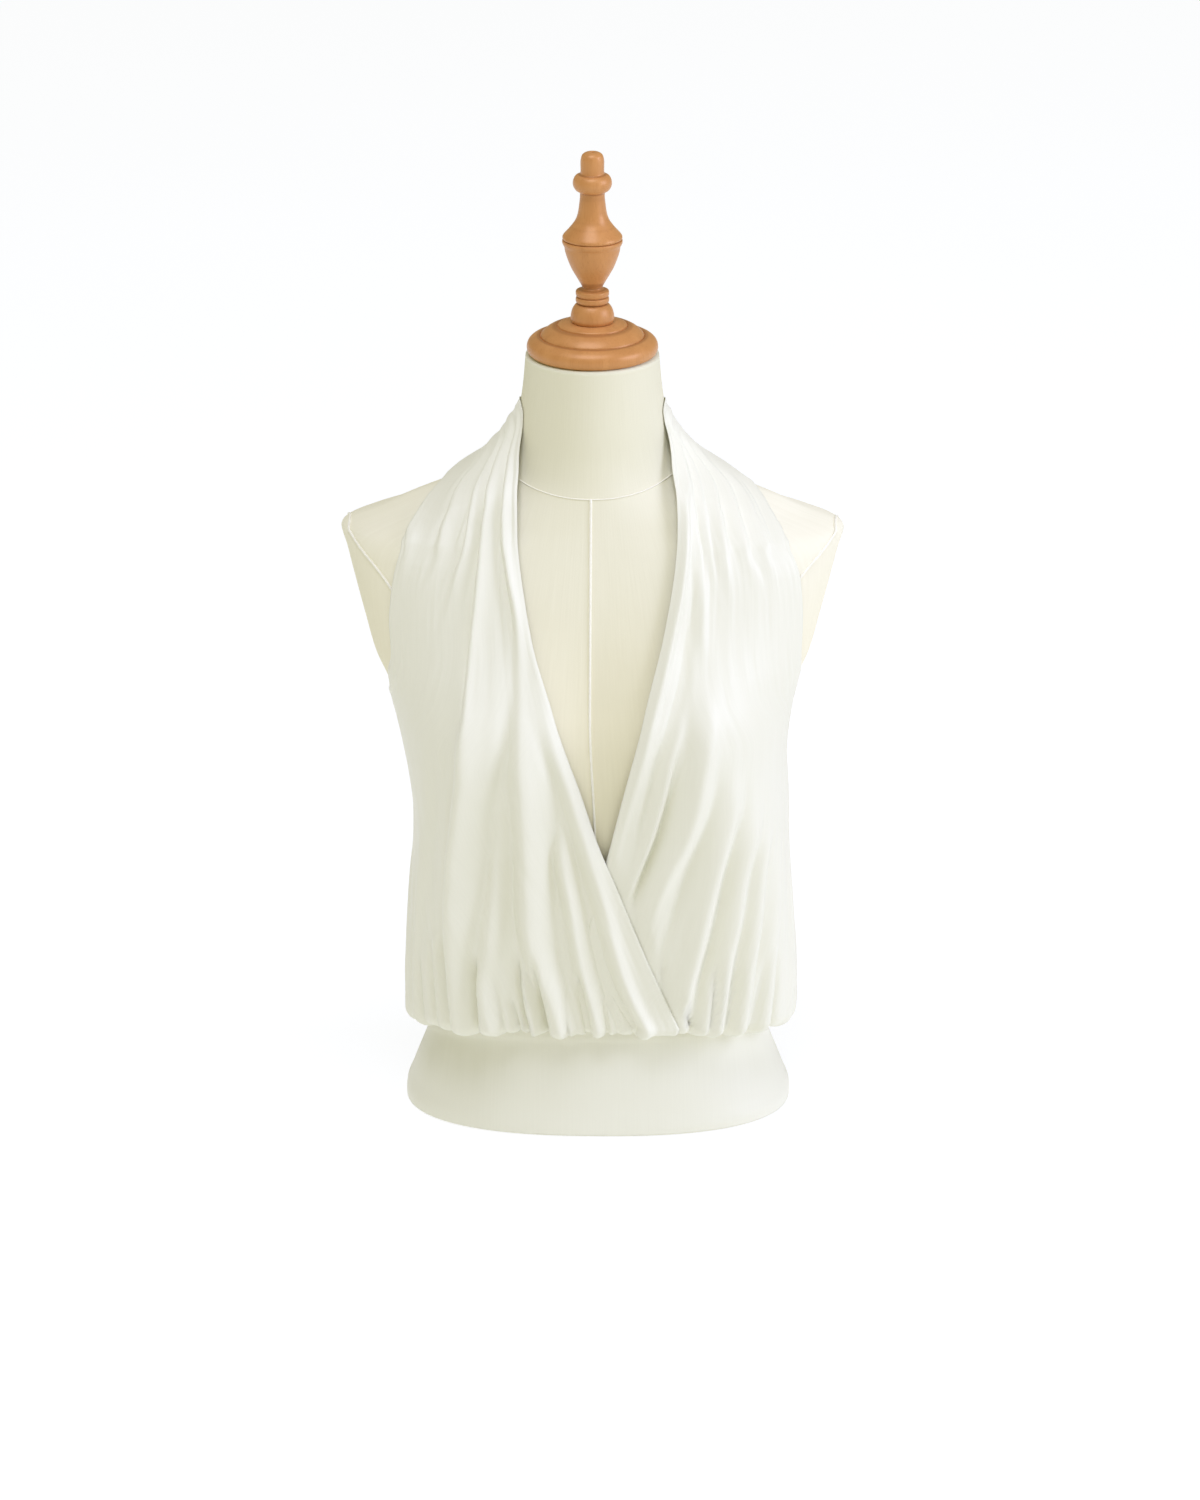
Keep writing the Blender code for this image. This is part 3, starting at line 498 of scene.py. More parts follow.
def hermite(knots, values, slopes, at):
    """Curve through the knots with the given slopes there."""
    i = np.clip(np.searchsorted(knots, at, side="right") - 1, 0, len(knots) - 2)
    span = knots[i + 1] - knots[i]
    t = (at - knots[i]) / span
    start = (1 + 2 * t) * (1 - t) ** 2 * values[i] + t * (1 - t) ** 2 * span * slopes[i]
    end = t * t * (3 - 2 * t) * values[i + 1] + t * t * (t - 1) * span * slopes[i + 1]
    return start + end


def round_curve(knots, values, at):
    """Curve through the knots that swings out at its corners."""
    return hermite(knots, values, np.gradient(values, knots), at)


def spline(knots, values, at):
    """Smooth curve through the knots that never overshoots them."""
    knots = np.asarray(knots, float)
    values = np.asarray(values, float)
    spans = np.diff(knots)
    slopes = np.diff(values) / spans
    before, after = slopes[:-1], slopes[1:]
    near = 2 * spans[1:] + spans[:-1]
    far = spans[1:] + 2 * spans[:-1]
    steady = before * after > 0
    blend = near / np.where(steady, before, 1) + far / np.where(steady, after, 1)
    tangents = np.concatenate(([slopes[0]], np.where(steady, (near + far) / blend, 0), [slopes[-1]]))
    return hermite(knots, values, tangents, np.clip(at, knots[0], knots[-1]))


def mix(a, b, share):
    return a + (b - a) * share


def smooth_step(x):
    x = np.clip(x, 0.0, 1.0)
    return x * x * (3 - 2 * x)


def smooth_max(a, b, softness):
    return 0.5 * (a + b + np.sqrt((a - b) ** 2 + softness ** 2))


def bump_at(distance, width):
    return np.exp(-(distance / width) ** 2)


def unit(vectors):
    return vectors / np.maximum(np.linalg.norm(vectors, axis=-1, keepdims=True), 1e-9)


def from_front(angle):
    """The same direction as an angle from -180 to 180."""
    return (np.asarray(angle) + 180) % 360 - 180


def section_radius(sections, angle, height):
    """Distance from the axis to an oval section, interpolated in height.

    The section is (x / half_width) ** across + (y / depth) ** along = 1, and
    Newton's method finds the radius that satisfies it.
    """
    levels, *columns = np.array(sections, float).T
    half_width, front, back, across, along = (spline(levels, column, height) for column in columns)
    turn = np.radians(angle)
    x = np.abs(np.sin(turn)) / half_width
    y = np.maximum(np.abs(np.cos(turn)), 1e-6) / np.where(np.cos(turn) > 0, front, back)
    radius = 1 / np.maximum(x, y)
    for _ in range(SOLVER_STEPS):
        value = (radius * x) ** across + (radius * y) ** along - 1
        slope = (across * (radius * x) ** across + along * (radius * y) ** along) / radius
        radius = radius - value / slope
    return radius


def bust(angle, height):
    beside = (np.abs(angle) - BUST_ANGLE) / BUST_SPREAD
    above = (height - BUST_HEIGHT) / BUST_RISE
    return BUST_DEPTH * np.exp(-beside ** 2 - above ** 2)


def hang(angle, height):
    """How far the cloth that hangs from the bust stands forward of the drape's ovals."""
    clear = smooth_step((HANG_TOP - height) / HANG_FALL)
    drawn = HANG_DRAWN_IN * smooth_step((HANG_LOW - height) / HANG_WAIST)
    return HANG_DEPTH * bump_at(np.abs(from_front(angle)) - HANG_ANGLE, HANG_SPREAD) * clear * (1 - drawn)


def form_radius(angle, height):
    return section_radius(FORM_SECTIONS, angle, height) + bust(angle, height)


def skin_under_cloth(angle, height):
    return np.maximum(form_radius(angle, height), form_radius(angle, height - BODY_CLEARANCE))


def off_skin(angle, height, radius):
    """A cloth's distance from the axis, kept clear of the form's skin."""
    return smooth_max(skin_under_cloth(angle, height) + SKIN_CLEARANCE, radius, SKIN_SOFTNESS)


def drape_radius(angle, height):
    """Middle of a worn panel where it lies on the form or hangs from it."""
    sway = SWAY * np.sin(np.radians(angle)) * smooth_step((SWAY_TOP - height) / SWAY_DROP)
    lobes = BUST_IN_DRAPE * bust(angle, height) + hang(angle, height)
    hanging = section_radius(DRAPE_SECTIONS, angle, height) + lobes + sway
    return smooth_max(skin_under_cloth(angle, height) + BODY_CLEARANCE, hanging, DRAPE_SOFTNESS)


def cloth_radius(angle, height):
    """Middle of a worn panel before its folds, rounded where it bends over the shoulder."""
    reach = SHOULDER_ROUNDING * bump_at(height - SHOULDER_BEND, SHOULDER_ROUNDING * 2)
    above, here, below = (drape_radius(angle, height + share * reach) for share in (1, 0, -1))
    return (above + 2 * here + below) / 4


def band_radius(angle, height):
    """Middle of the waistband, which hangs straight where the form's edge rounds in below it."""
    return form_radius(angle, np.maximum(height, FORM_EDGE)) + BAND_CLEARANCE


def gap_angle(radius):
    """Half a seam's gap, as an angle at that distance from the axis."""
    return math.degrees(SEAM_GAP / 2 / radius)


def blouse(column, angle):
    """A column of BLOUSE_SECTIONS at an angle: 1 seam height, 2 lowest point, 3 depth of the roll."""
    table = np.array(BLOUSE_SECTIONS, float)
    return spline(table[:, 0], table[:, column], np.abs(from_front(angle)))


def roll_top(angle):
    return blouse(2, angle) + blouse(3, angle)


def inset_behind_over(angle, height):
    """How far the under front, on the other side, lies behind the over front's surface."""
    table = np.array(OVER_STATIONS[EDGE_FROM:], float)[::-1]
    edge_angle = -spline(table[:, 1], table[:, 0], height)
    outside = np.radians(angle - edge_angle) * FRONT_RADIUS
    return OVERLAP_INSET * smooth_step((OVERLAP_LEAD - outside) / OVERLAP_RAMP)


def points(angle, radius, height):
    turn = np.radians(angle)
    across = radius * np.sin(turn) + LEAN * smooth_step((height - LEAN_START) / LEAN_RISE)
    return np.stack((across, -radius * np.cos(turn), height + 0 * radius), axis=-1)


def along_rows(grid):
    """Distance along each row of a grid of points, from its first column."""
    steps = np.linalg.norm(np.diff(grid, axis=1), axis=2)
    return np.concatenate((np.zeros((len(grid), 1)), np.cumsum(steps, axis=1)), axis=1)


def panel_places(rows, columns, row_places=((0, 1), (0, 1))):
    """How far down and across a panel its grid's points lie."""
    down = spline(*row_places, np.linspace(0, 1, rows))[:, None]
    return down, np.linspace(0, 1, columns)[None, :] + 0 * down


def streaks(rng, across, down, count_across, count_down):
    """Smooth uneven numbers from -1 to 1 that change faster across a panel than down it."""
    values = rng.uniform(-1, 1, (count_down, count_across))
    columns = np.linspace(0, 1, count_across)
    rows = np.linspace(0, 1, count_down)
    level = np.stack([spline(columns, line, across[0]) for line in values])
    return np.stack([spline(rows, line, down[:, 0]) for line in level.T], axis=1)


# --------------------------------------------------------------- making meshes

def add_object(name, data):
    made = bpy.data.objects.new(name, data)
    bpy.context.scene.collection.objects.link(made)
    return made


def new_mesh(name, vertices, faces, material, **maps):
    """A piece from millimetre points; maps are numbers for each vertex, or pairs for a UV map."""
    mesh = bpy.data.meshes.new(name)
    mesh.from_pydata((np.asarray(vertices) * MM).tolist(), [], faces)
    mesh.shade_smooth()
    mesh.materials.append(material)
    corners = np.zeros(len(mesh.loops), np.int32)
    mesh.loops.foreach_get("vertex_index", corners)
    for map_name, values in maps.items():
        values = np.asarray(values, np.float32)
        if values.ndim == 2:
            layer = mesh.uv_layers.new(name=map_name)
            layer.uv.foreach_set("vector", values[corners].ravel())
        else:
            mesh.attributes.new(map_name, "FLOAT", "POINT").data.foreach_set("value", values)
    return add_object(name, mesh)


def grid_faces(rows, columns, wrapped=False):
    i = np.arange(rows - 1)[:, None] * columns
    j = np.arange(columns if wrapped else columns - 1)[None, :]
    k = (j + 1) % columns
    return np.stack((i + j, i + k, i + columns + k, i + columns + j), axis=-1).reshape(-1, 4)


def tube_faces(rows, columns):
    """Faces of a closed tube of points, with a flat one at each end."""
    last = (rows - 1) * columns
    ends = [list(range(columns))[::-1], list(range(last, last + columns))]
    return grid_faces(rows, columns, wrapped=True).tolist() + ends


def grid_normals(grid):
    normals = unit(np.cross(np.gradient(grid, axis=0), np.gradient(grid, axis=1)))
    outward = grid * (1, 1, 0)
    return normals if (normals * outward).sum() > 0 else -normals


def new_cloth(name, grid, material, raised=0.0, thinned=0.0, gather=0.0):
    """Closed thin shell round a grid of points.

    Each point has what a hem's turning adds to the face, what is taken off the
    wall, and how much of the material's small crumples it shows.
    """
    rows, columns = grid.shape[:2]
    raised, thinned, gather = (np.broadcast_to(values, (rows, columns))[..., None]
                               for values in (raised, thinned, gather))
    wall = JERSEY_WALL - thinned
    normals = grid_normals(grid)
    face = (grid + normals * (wall / 2 + raised)).reshape(-1, 3)
    lining = (grid - normals * wall / 2).reshape(-1, 3)
    count = rows * columns
    front = grid_faces(rows, columns)
    index = np.arange(count).reshape(rows, columns)
    edge = np.concatenate((index[0], index[1:, -1], index[-1, -2::-1], index[-2:0:-1, 0]))
    after = np.roll(edge, -1)
    rim = np.stack((after, edge, edge + count, after + count), axis=-1)
    faces = np.concatenate((front, front[:, ::-1] + count, rim))
    a, b, c = (face[front[:, k]] for k in range(3))
    if (np.cross(b - a, c - a) * (a * (1, 1, 0))).sum() < 0:
        faces = faces[:, ::-1]
    across = along_rows(grid)
    down = along_rows(grid.transpose(1, 0, 2)).T
    cut = np.stack((across - across[:, columns // 2, None], down), axis=-1).reshape(-1, 2) * MM
    return new_mesh(name, np.concatenate((face, lining)), faces.tolist(), material,
                    cut=np.tile(cut, (2, 1)), gather=np.tile(gather.ravel(), 2))


def new_turning(name, profile, segments, material):
    """Turned solid whose profile runs smoothly through the given points."""
    line = np.array(profile, float)
    steps = np.sqrt(np.linalg.norm(np.diff(line, axis=0), axis=1))
    length = np.concatenate(([0], np.cumsum(steps)))
    at = np.unique(np.concatenate([np.linspace(a, b, PROFILE_STEPS + 1) for a, b in zip(length, length[1:])]))
    radius, height = (round_curve(length, values, at) for values in line.T)
    # how hollow the profile is sets the painted shade in its grooves
    hollow = (np.roll(radius, GROOVE_REACH) + np.roll(radius, -GROOVE_REACH)) / 2 - radius
    groove = np.clip((hollow - GROOVE_FROM) / GROOVE_RANGE, 0, 1)
    groove[:GROOVE_ENDS] = groove[-GROOVE_ENDS:] = 0
    turn = np.arange(segments) * 360.0 / segments
    rings = points(turn[None, :], radius[:, None] + 0 * turn, NECK_TOP + height[:, None])
    return new_mesh(name, rings.reshape(-1, 3), tube_faces(len(at), segments), material,
                    groove=np.repeat(groove, segments))


def new_cord(name, line, radius, material, closed=False):
    """Round cord along a line of points."""
    chords = np.roll(line, -1, axis=0) - np.roll(line, 1, axis=0) if closed else np.gradient(line, axis=0)
    forward = unit(chords)
    side = unit(np.cross(forward, unit(line * (1, 1, 0))))
    up = np.cross(side, forward)
    turn = np.arange(CORD_SIDES)[:, None] * 2 * math.pi / CORD_SIDES
    rings = line[:, None] + radius * (np.cos(turn) * side[:, None] + np.sin(turn) * up[:, None])
    if closed:
        faces = (grid_faces(len(line) + 1, CORD_SIDES, wrapped=True) % (len(line) * CORD_SIDES)).tolist()
    else:
        faces = tube_faces(len(line), CORD_SIDES)
    return new_mesh(name, rings.reshape(-1, 3), faces, material)


# ------------------------------------------------------------------ materials

def add(tree, kind, inputs=None, **settings):
    made = tree.nodes.new("ShaderNode" + kind)
    for key, value in settings.items():
        setattr(made, key, value)
    for key, value in (inputs or {}).items():
        made.inputs[key].default_value = value
    return made


def feed(tree, socket, value):
    """Link another node's output to a socket, or set it to a number or a colour."""
    if isinstance(value, bpy.types.NodeSocket):
        tree.links.new(value, socket)
    else:
        socket.default_value = (*value, 1.0) if isinstance(value, tuple) else value


def start_material(name, **sockets):
    material = bpy.data.materials.new(name)
    material.use_nodes = True
    tree = material.node_tree
    shader = tree.nodes["Principled BSDF"]
    for key, value in sockets.items():
        shader.inputs[key.replace("_", " ")].default_value = value
    return material, tree, shader


def stretched_noise(tree, source, scale, detail, distortion=0.0):
    mapping = add(tree, "Mapping", {"Scale": scale})
    feed(tree, mapping.inputs["Vector"], source)
    noise = add(tree, "TexNoise", {"Scale": 1.0, "Detail": detail, "Distortion": distortion})
    feed(tree, noise.inputs["Vector"], mapping.outputs["Vector"])
    return noise.outputs["Fac"]


def ramp(tree, source, *stops):
    made = add(tree, "ValToRGB")
    elements = made.color_ramp.elements
    while len(elements) < len(stops):
        elements.new(0.5)
    for element, (place, colour) in zip(elements, stops):
        element.position = place
        element.color = (*colour, 1.0)
    feed(tree, made.inputs["Fac"], source)
    return made.outputs["Color"]


def blend_colours(tree, kind, share, first, second):
    made = add(tree, "Mix", data_type="RGBA", blend_type=kind)
    for k, value in ((0, share), (6, first), (7, second)):
        feed(tree, made.inputs[k], value)
    return made.outputs[2]


def arithmetic(tree, operation, *values):
    made = add(tree, "Math", operation=operation)
    for socket, value in zip(made.inputs, values):
        feed(tree, socket, value)
    return made.outputs[0]


def ribs(tree, source, axis, pitch):
    """Waves from -1 to 1 along one axis of a coordinate, pitch metres apart."""
    split = add(tree, "SeparateXYZ")
    feed(tree, split.inputs[0], source)
    return arithmetic(tree, "SINE", arithmetic(tree, "MULTIPLY", split.outputs[axis], 2 * math.pi / pitch))


def uneven_roughness(tree, shader, source, low, high):
    made = add(tree, "MapRange", {"To Min": low, "To Max": high})
    feed(tree, made.inputs["Value"], source)
    feed(tree, shader.inputs["Roughness"], made.outputs["Result"])


def bump(tree, shader, height, distance, strength, below=None):
    made = add(tree, "Bump", {"Distance": distance, "Strength": strength})
    feed(tree, made.inputs["Height"], height)
    if below is not None:
        feed(tree, made.inputs["Normal"], below)
    feed(tree, shader.inputs["Normal"], made.outputs["Normal"])
    return made.outputs["Normal"]


def jersey_material():
    """Satin-faced rayon jersey: fine wales down the cloth, soft streaks, a broad sheen."""
    material, tree, shader = start_material(
        "satin_jersey", Roughness=0.46, Specular_IOR_Level=0.42, Sheen_Weight=0.22, Sheen_Roughness=0.45)
    cut = add(tree, "UVMap", uv_map="cut").outputs["UV"]
    body = add(tree, "TexCoord").outputs["Object"]
    wales = ribs(tree, cut, 0, 0.0008)
    courses = ribs(tree, cut, 1, 0.00064)
    knit = arithmetic(tree, "MULTIPLY_ADD", arithmetic(tree, "MULTIPLY", wales, courses), 0.5, wales)
    streak = stretched_noise(tree, cut, (700.0, 14.0, 1.0), 3.0)
    cloud = stretched_noise(tree, body, (9.0, 9.0, 4.0), 2.0)
    crumple = stretched_noise(tree, body, (120.0, 120.0, 36.0), 3.0)
    tint = ramp(tree, cloud, (0.3, (0.850, 0.842, 0.705)), (0.7, (0.872, 0.865, 0.735)))
    shade = ramp(tree, streak, (0.2, (0.972, 0.972, 0.966)), (0.8, (1.0, 1.0, 1.0)))
    feed(tree, shader.inputs["Base Color"], blend_colours(tree, "MULTIPLY", 1.0, tint, shade))
    uneven_roughness(tree, shader, streak, 0.40, 0.52)
    gather = add(tree, "Attribute", attribute_name="gather").outputs["Fac"]
    first = bump(tree, shader, arithmetic(tree, "MULTIPLY", crumple, gather), 0.0012, 0.6)
    second = bump(tree, shader, streak, 0.00006, 0.5, first)
    bump(tree, shader, knit, 0.00003, 0.35, second)
    return material


def cover_material():
    """Matt cotton cover with a fine weave. Painted light in its colour: the shoulders lighter than the
    middle, where the top light falls on them; painted warm bounce light low on the chest; painted shade at
    the neck.
    """
    material, tree, shader = start_material(
        "cotton_cover", Roughness=0.82, Specular_IOR_Level=0.25, Sheen_Weight=0.10, Sheen_Roughness=0.6)
    cut = add(tree, "UVMap", uv_map="cut").outputs["UV"]
    body = add(tree, "TexCoord").outputs["Object"]
    weave = arithmetic(tree, "MULTIPLY", ribs(tree, cut, 0, 0.0012), ribs(tree, cut, 1, 0.0010))
    slub = stretched_noise(tree, cut, (520.0, 22.0, 1.0), 4.0)
    cloud = stretched_noise(tree, body, (7.0, 7.0, 5.0), 3.0)
    place = add(tree, "SeparateXYZ")
    feed(tree, place.inputs["Vector"], body)
    from_middle = arithmetic(tree, "ABSOLUTE", place.outputs["X"])
    colour = ramp(tree, cloud, (0.3, (0.912, 0.880, 0.690)), (0.7, (0.940, 0.915, 0.755)))
    for tint in (
        ramp(tree, slub, (0.25, (0.97, 0.967, 0.955)), (0.75, (1.0, 1.0, 1.0))),
        # painted light: the shoulders, which the top light falls on, are left lighter than the middle
        ramp(tree, from_middle, (0.09, (0.93, 0.93, 0.90)), (0.13, (1.0, 1.0, 1.0))),
        # painted shade at the neck, and painted warm bounce light low on the chest where the V shows it
        ramp(tree, place.outputs["Z"], (0.34, (1.0, 0.98, 0.93)), (0.46, (0.98, 0.978, 0.97)),
             (0.50, (0.98, 0.978, 0.97)), (0.53, (0.93, 0.93, 0.895))),
    ):
        colour = blend_colours(tree, "MULTIPLY", 1.0, colour, tint)
    feed(tree, shader.inputs["Base Color"], colour)
    uneven_roughness(tree, shader, slub, 0.74, 0.9)
    first = bump(tree, shader, slub, 0.00012, 0.6)
    bump(tree, shader, weave, 0.00005, 0.5, first)
    return material


def piping_material():
    """Twisted cotton cord of the form's seams."""
    material, tree, shader = start_material("cotton_piping", Roughness=0.75, Sheen_Weight=0.1)
    body = add(tree, "TexCoord").outputs["Object"]
    fibre = stretched_noise(tree, body, (900.0, 900.0, 500.0), 2.0)
    tint = ramp(tree, fibre, (0.3, (0.90, 0.87, 0.72)), (0.7, (0.95, 0.93, 0.82)))
    feed(tree, shader.inputs["Base Color"], tint)
    bump(tree, shader, fibre, 0.0002, 0.6)
    return material


def wood_material():
    """Lacquered beech, turned across upright grain, with painted shade in the turned grooves."""
    material, tree, shader = start_material(
        "lacquered_beech", Roughness=0.42, Specular_IOR_Level=0.9, Specular_Tint=(1.0, 0.66, 0.36, 1.0),
        Coat_Weight=0.15, Coat_Roughness=0.3)
    body = add(tree, "TexCoord").outputs["Object"]
    growth = stretched_noise(tree, body, (60.0, 60.0, 6.0), 4.0, 1.4)
    flecks = stretched_noise(tree, body, (900.0, 900.0, 60.0), 2.0)
    rings = ramp(tree, growth, (0.30, (0.53, 0.237, 0.074)), (0.52, (0.57, 0.262, 0.084)),
                 (0.72, (0.61, 0.291, 0.098)))
    pores = ramp(tree, flecks, (0.34, (0.88, 0.84, 0.80)), (0.46, (1.0, 1.0, 1.0)))
    grain = blend_colours(tree, "MULTIPLY", 0.6, rings, pores)
    # painted shade: the wood is darkened in the turned grooves
    groove = add(tree, "Attribute", attribute_name="groove").outputs["Fac"]
    colour = blend_colours(tree, "MIX", groove, grain, (0.40, 0.165, 0.050))
    feed(tree, shader.inputs["Base Color"], colour)
    uneven_roughness(tree, shader, growth, 0.36, 0.48)
    bump(tree, shader, flecks, 0.00005, 0.4)
    return material


def floor_material():
    """Lit white table top."""
    material, tree, shader = start_material(
        "light_table", Roughness=0.9, Specular_IOR_Level=0.0, Emission_Color=(0.97, 0.98, 1.0, 1.0),
        Emission_Strength=0.84)
    body = add(tree, "TexCoord").outputs["Object"]
    cloud = stretched_noise(tree, body, (0.8, 0.8, 0.8), 2.0)
    tint = ramp(tree, cloud, (0.2, (0.24, 0.24, 0.235)), (0.8, (0.26, 0.26, 0.255)))
    feed(tree, shader.inputs["Base Color"], tint)
    return material


# ------------------------------------------------------------------ the form

def make_form(material):
    upper = np.arange(FORM_EDGE + FORM_STEP, NECK_TOP, FORM_STEP)
    heights = np.concatenate((FORM_EDGE_HEIGHTS, upper, [NECK_TOP]))[:, None]
    angle = from_front(np.arange(FORM_SEGMENTS) * 360.0 / FORM_SEGMENTS)[None, :]
    grid = points(angle + 0 * heights, form_radius(angle, heights), heights)
    cut = np.stack((np.radians(angle) * COVER_RADIUS + 0 * heights, heights + 0 * angle), axis=-1) * MM
    faces = tube_faces(len(heights), FORM_SEGMENTS)
    return new_mesh("form_cover", grid.reshape(-1, 3), faces, material, cut=cut.reshape(-1, 2))


def on_form(angle, height):
    return points(angle, form_radius(angle, height) + PIPING_PROUD, height)


def make_piping(material):
    """Cords sewn into the cover's seams: centre front and back, neck and armholes."""
    made = []
    for name, angle, top in (("piping_front", 0.0, NECK_SEAM_FRONT), ("piping_back", 180.0, PIPING_BACK_TOP)):
        height = np.linspace(PIPING_LOW, top, PIPING_STEPS)
        made.append(new_cord(name, on_form(np.full(height.shape, angle), height), PIPING, material))
    around = np.linspace(-180, 180, NECK_PIPING_STEPS, endpoint=False)
    rise = NECK_SEAM_RISE * np.tanh(NECK_SEAM_CURVE * (1 - np.cos(np.radians(around))))
    neck_seam = on_form(around, NECK_SEAM_FRONT + rise)
    made.append(new_cord("piping_neck", neck_seam, NECK_PIPING, material, closed=True))
    turn = np.linspace(0, 2 * math.pi, ARMHOLE_STEPS, endpoint=False)
    depth = ARMHOLE_DEPTH * np.cos(turn) * np.abs(np.cos(turn)) ** ARMHOLE_TAPER
    height = ARMHOLE_MIDDLE + ARMHOLE_RISE * np.sin(turn)
    for name, side in (("piping_armhole_right", -1), ("piping_armhole_left", 1)):
        reach = np.full(turn.shape, ARMHOLE_REACH)
        for _ in range(ARMHOLE_SOLVER_STEPS):
            angle = np.degrees(np.arctan2(side * reach, -depth))
            reach = np.sqrt(np.maximum(form_radius(angle, height) ** 2 - depth ** 2, 1.0))
        made.append(new_cord(name, on_form(angle, height), PIPING, material, closed=True))
    return made


# ------------------------------------------------------------------ the cloth

def crease_height(creases, down, across, neck_angle, outer_angle, width):
    """Sum of a panel's ridges and valleys, in mm."""
    total = np.zeros(across.shape)
    for heights, (towards, away), route in creases:
        rows, angles = np.array(route, float).T
        rows = rows / 100
        held = np.maximum(down, STRAP_STRAIGHTENS) if rows[0] < STRAP_STRAIGHTENS else down
        neck, outer = (spline(down[:, 0], edge[:, 0], held) for edge in (neck_angle, outer_angle))
        place = (spline(rows, angles, held) - neck) / (outer - neck)
        distance = (across - place) * np.maximum(width, STRAP_WIDTH)
        along = (down - rows[0]) / (rows[-1] - rows[0])
        height = np.where((along >= 0) & (along <= 1), spline((0, 0.5, 1), heights, along), 0)
        if rows[0] > 0:
            height = height * smooth_step(along / FOLD_FADE)
        if rows[-1] < 1:
            height = height * smooth_step((1 - along) / FOLD_FADE)
        profile = bump_at(distance, np.where(distance < 0, towards, away))
        if heights[1] > 0:
            steep = min(towards, away)
            foot = CREVICE_PLACE * steep * (1 if away <= towards else -1)
            profile = profile - CREVICE * bump_at(distance - foot, CREVICE_WIDTH * steep)
        total = total + height * profile
    return total


def hem(from_edge, width):
    """What a turned hem adds to the cloth's face at a distance from its edge."""
    turned = HEM_THICKNESS * (1 - smooth_step((from_edge - width) / HEM_STEP))
    return turned - STITCH_DENT * bump_at(from_edge - width - STITCH_WIDTH, STITCH_WIDTH)


def roll_under(angle, radius, inset, fold):
    """Rows from the panel's lowest hanging point, under and up to the waist seam."""
    def leg(height):
        return band_radius(angle, height) + CAD_WALL + LEG_GAP + LEG_INSET * inset

    top = roll_top(angle)
    seam = blouse(1, angle)
    depth = (blouse(3, angle) - inset) * (1 + ROLL_SWELL * fold)
    half = (radius - leg(top)) / 2
    rows = []
    for turn in np.linspace(0, math.pi, ROLL_ROWS)[1:]:
        height = top - depth * math.sin(turn)
        around = leg(top) + half + half * math.cos(turn)
        rows.append(points(angle, np.maximum(around, leg(height)), height))
    return np.stack(rows + [points(angle, leg(seam), seam)])


def worn_grid(angle, height, offset, inset, fold):
    """Body rows of a panel at an offset from its drape, and the rows that roll under to the waist seam."""
    radius = off_skin(angle, height, cloth_radius(angle, height) - inset + offset)
    rolled = roll_under(angle[-1], radius[-1], inset[-1], fold[-1])
    return np.concatenate((points(angle, radius, height), rolled))


def new_rolled(name, grid, material, **numbers):
    """A cloth piece whose rolled-under rows have the numbers of the last row above them."""
    for key, values in numbers.items():
        numbers[key] = np.concatenate((values, np.repeat(values[-1:], ROLL_ROWS, axis=0)))
    return new_cloth(name, grid, material, **numbers)


def make_front(name, side, stations, creases, nested, material):
    """A front with its halter strap: its folds, gathers, hems and the roll at the waist."""
    rng = np.random.default_rng(SEEDS[name])
    down, share = panel_places(*FRONT_GRID, FRONT_ROW_PLACES)
    across = share - FRONT_CROWDING * np.sin(2 * math.pi * share)
    table = np.array(stations, float)
    knots = np.linspace(0, 1, len(table))
    neck_angle, neck_height, outer_angle, outer_height = (spline(knots, values, down) for values in table.T)
    side_seam = SIDE_SEAM - gap_angle(SIDE_RADIUS)
    outer_angle = np.where(down > SIDE_SEAM_FROM, np.minimum(outer_angle, side_seam), outer_angle)
    angle = side * np.minimum(mix(neck_angle, outer_angle, across), NECK_SEAM - gap_angle(NECK_RADIUS))
    height = mix(neck_height, outer_height, across)
    settled = np.clip((down - SETTLE_START) / (1 - SETTLE_START), 0, 1) ** 2
    height = height + settled * (roll_top(angle) - height[-1:])
    inset = inset_behind_over(angle, height) if nested else 0 * angle

    from_edge = along_rows(points(angle, cloth_radius(angle, height), height))
    width = from_edge[:, -1:]
    to_outer = width - from_edge
    fold = crease_height(creases, down, across, neck_angle, outer_angle + LEAST_SPREAD, width)
    fold = fold * mix(NECK_FLATTENS, 1, smooth_step(down / NECK_FLATTENS_TO))
    gather = smooth_step((down - FRONT_GATHER_START) / (1 - FRONT_GATHER_START)) + 0 * across
    for count_across, count_down, tall, gathered in FRONT_WRINKLES:
        wrinkles = streaks(rng, across, down, count_across, count_down)
        fold = fold + wrinkles * (tall + gathered * gather)
    showing = 1 - inset / OVERLAP_INSET
    outer_fade = np.where(down > SIDE_FADE_FROM, SIDE_FADE, EDGE_FADE)
    fold = fold * smooth_step(from_edge / EDGE_FADE) * smooth_step(to_outer / outer_fade) * showing

    lift = spline(*zip(*EDGE_LIFTS[name]), down)
    offset = fold + lift * bump_at(from_edge, EDGE_LIFT_REACH) * showing
    offset = offset - EDGE_LIP * bump_at(from_edge, NECKLINE_LIP)
    offset = offset - np.where(down < ARMHOLE_END, EDGE_LIP * bump_at(to_outer, ARMHOLE_LIP), 0)
    below_strap = smooth_step(down / STRAP_STRAIGHTENS)
    raised = hem(from_edge, HEM_WIDTH) * below_strap
    raised = raised + np.where(down < ARMHOLE_END, hem(to_outer, ARMHOLE_HEM), 0)
    thinned = NECK_THINS * (1 - below_strap) * (1 - smooth_step(from_edge / NECK_THINS_WIDTH))
    grid = worn_grid(angle, height, offset, inset, fold)
    return new_rolled(name, grid, material, raised=raised, thinned=thinned, gather=gather)


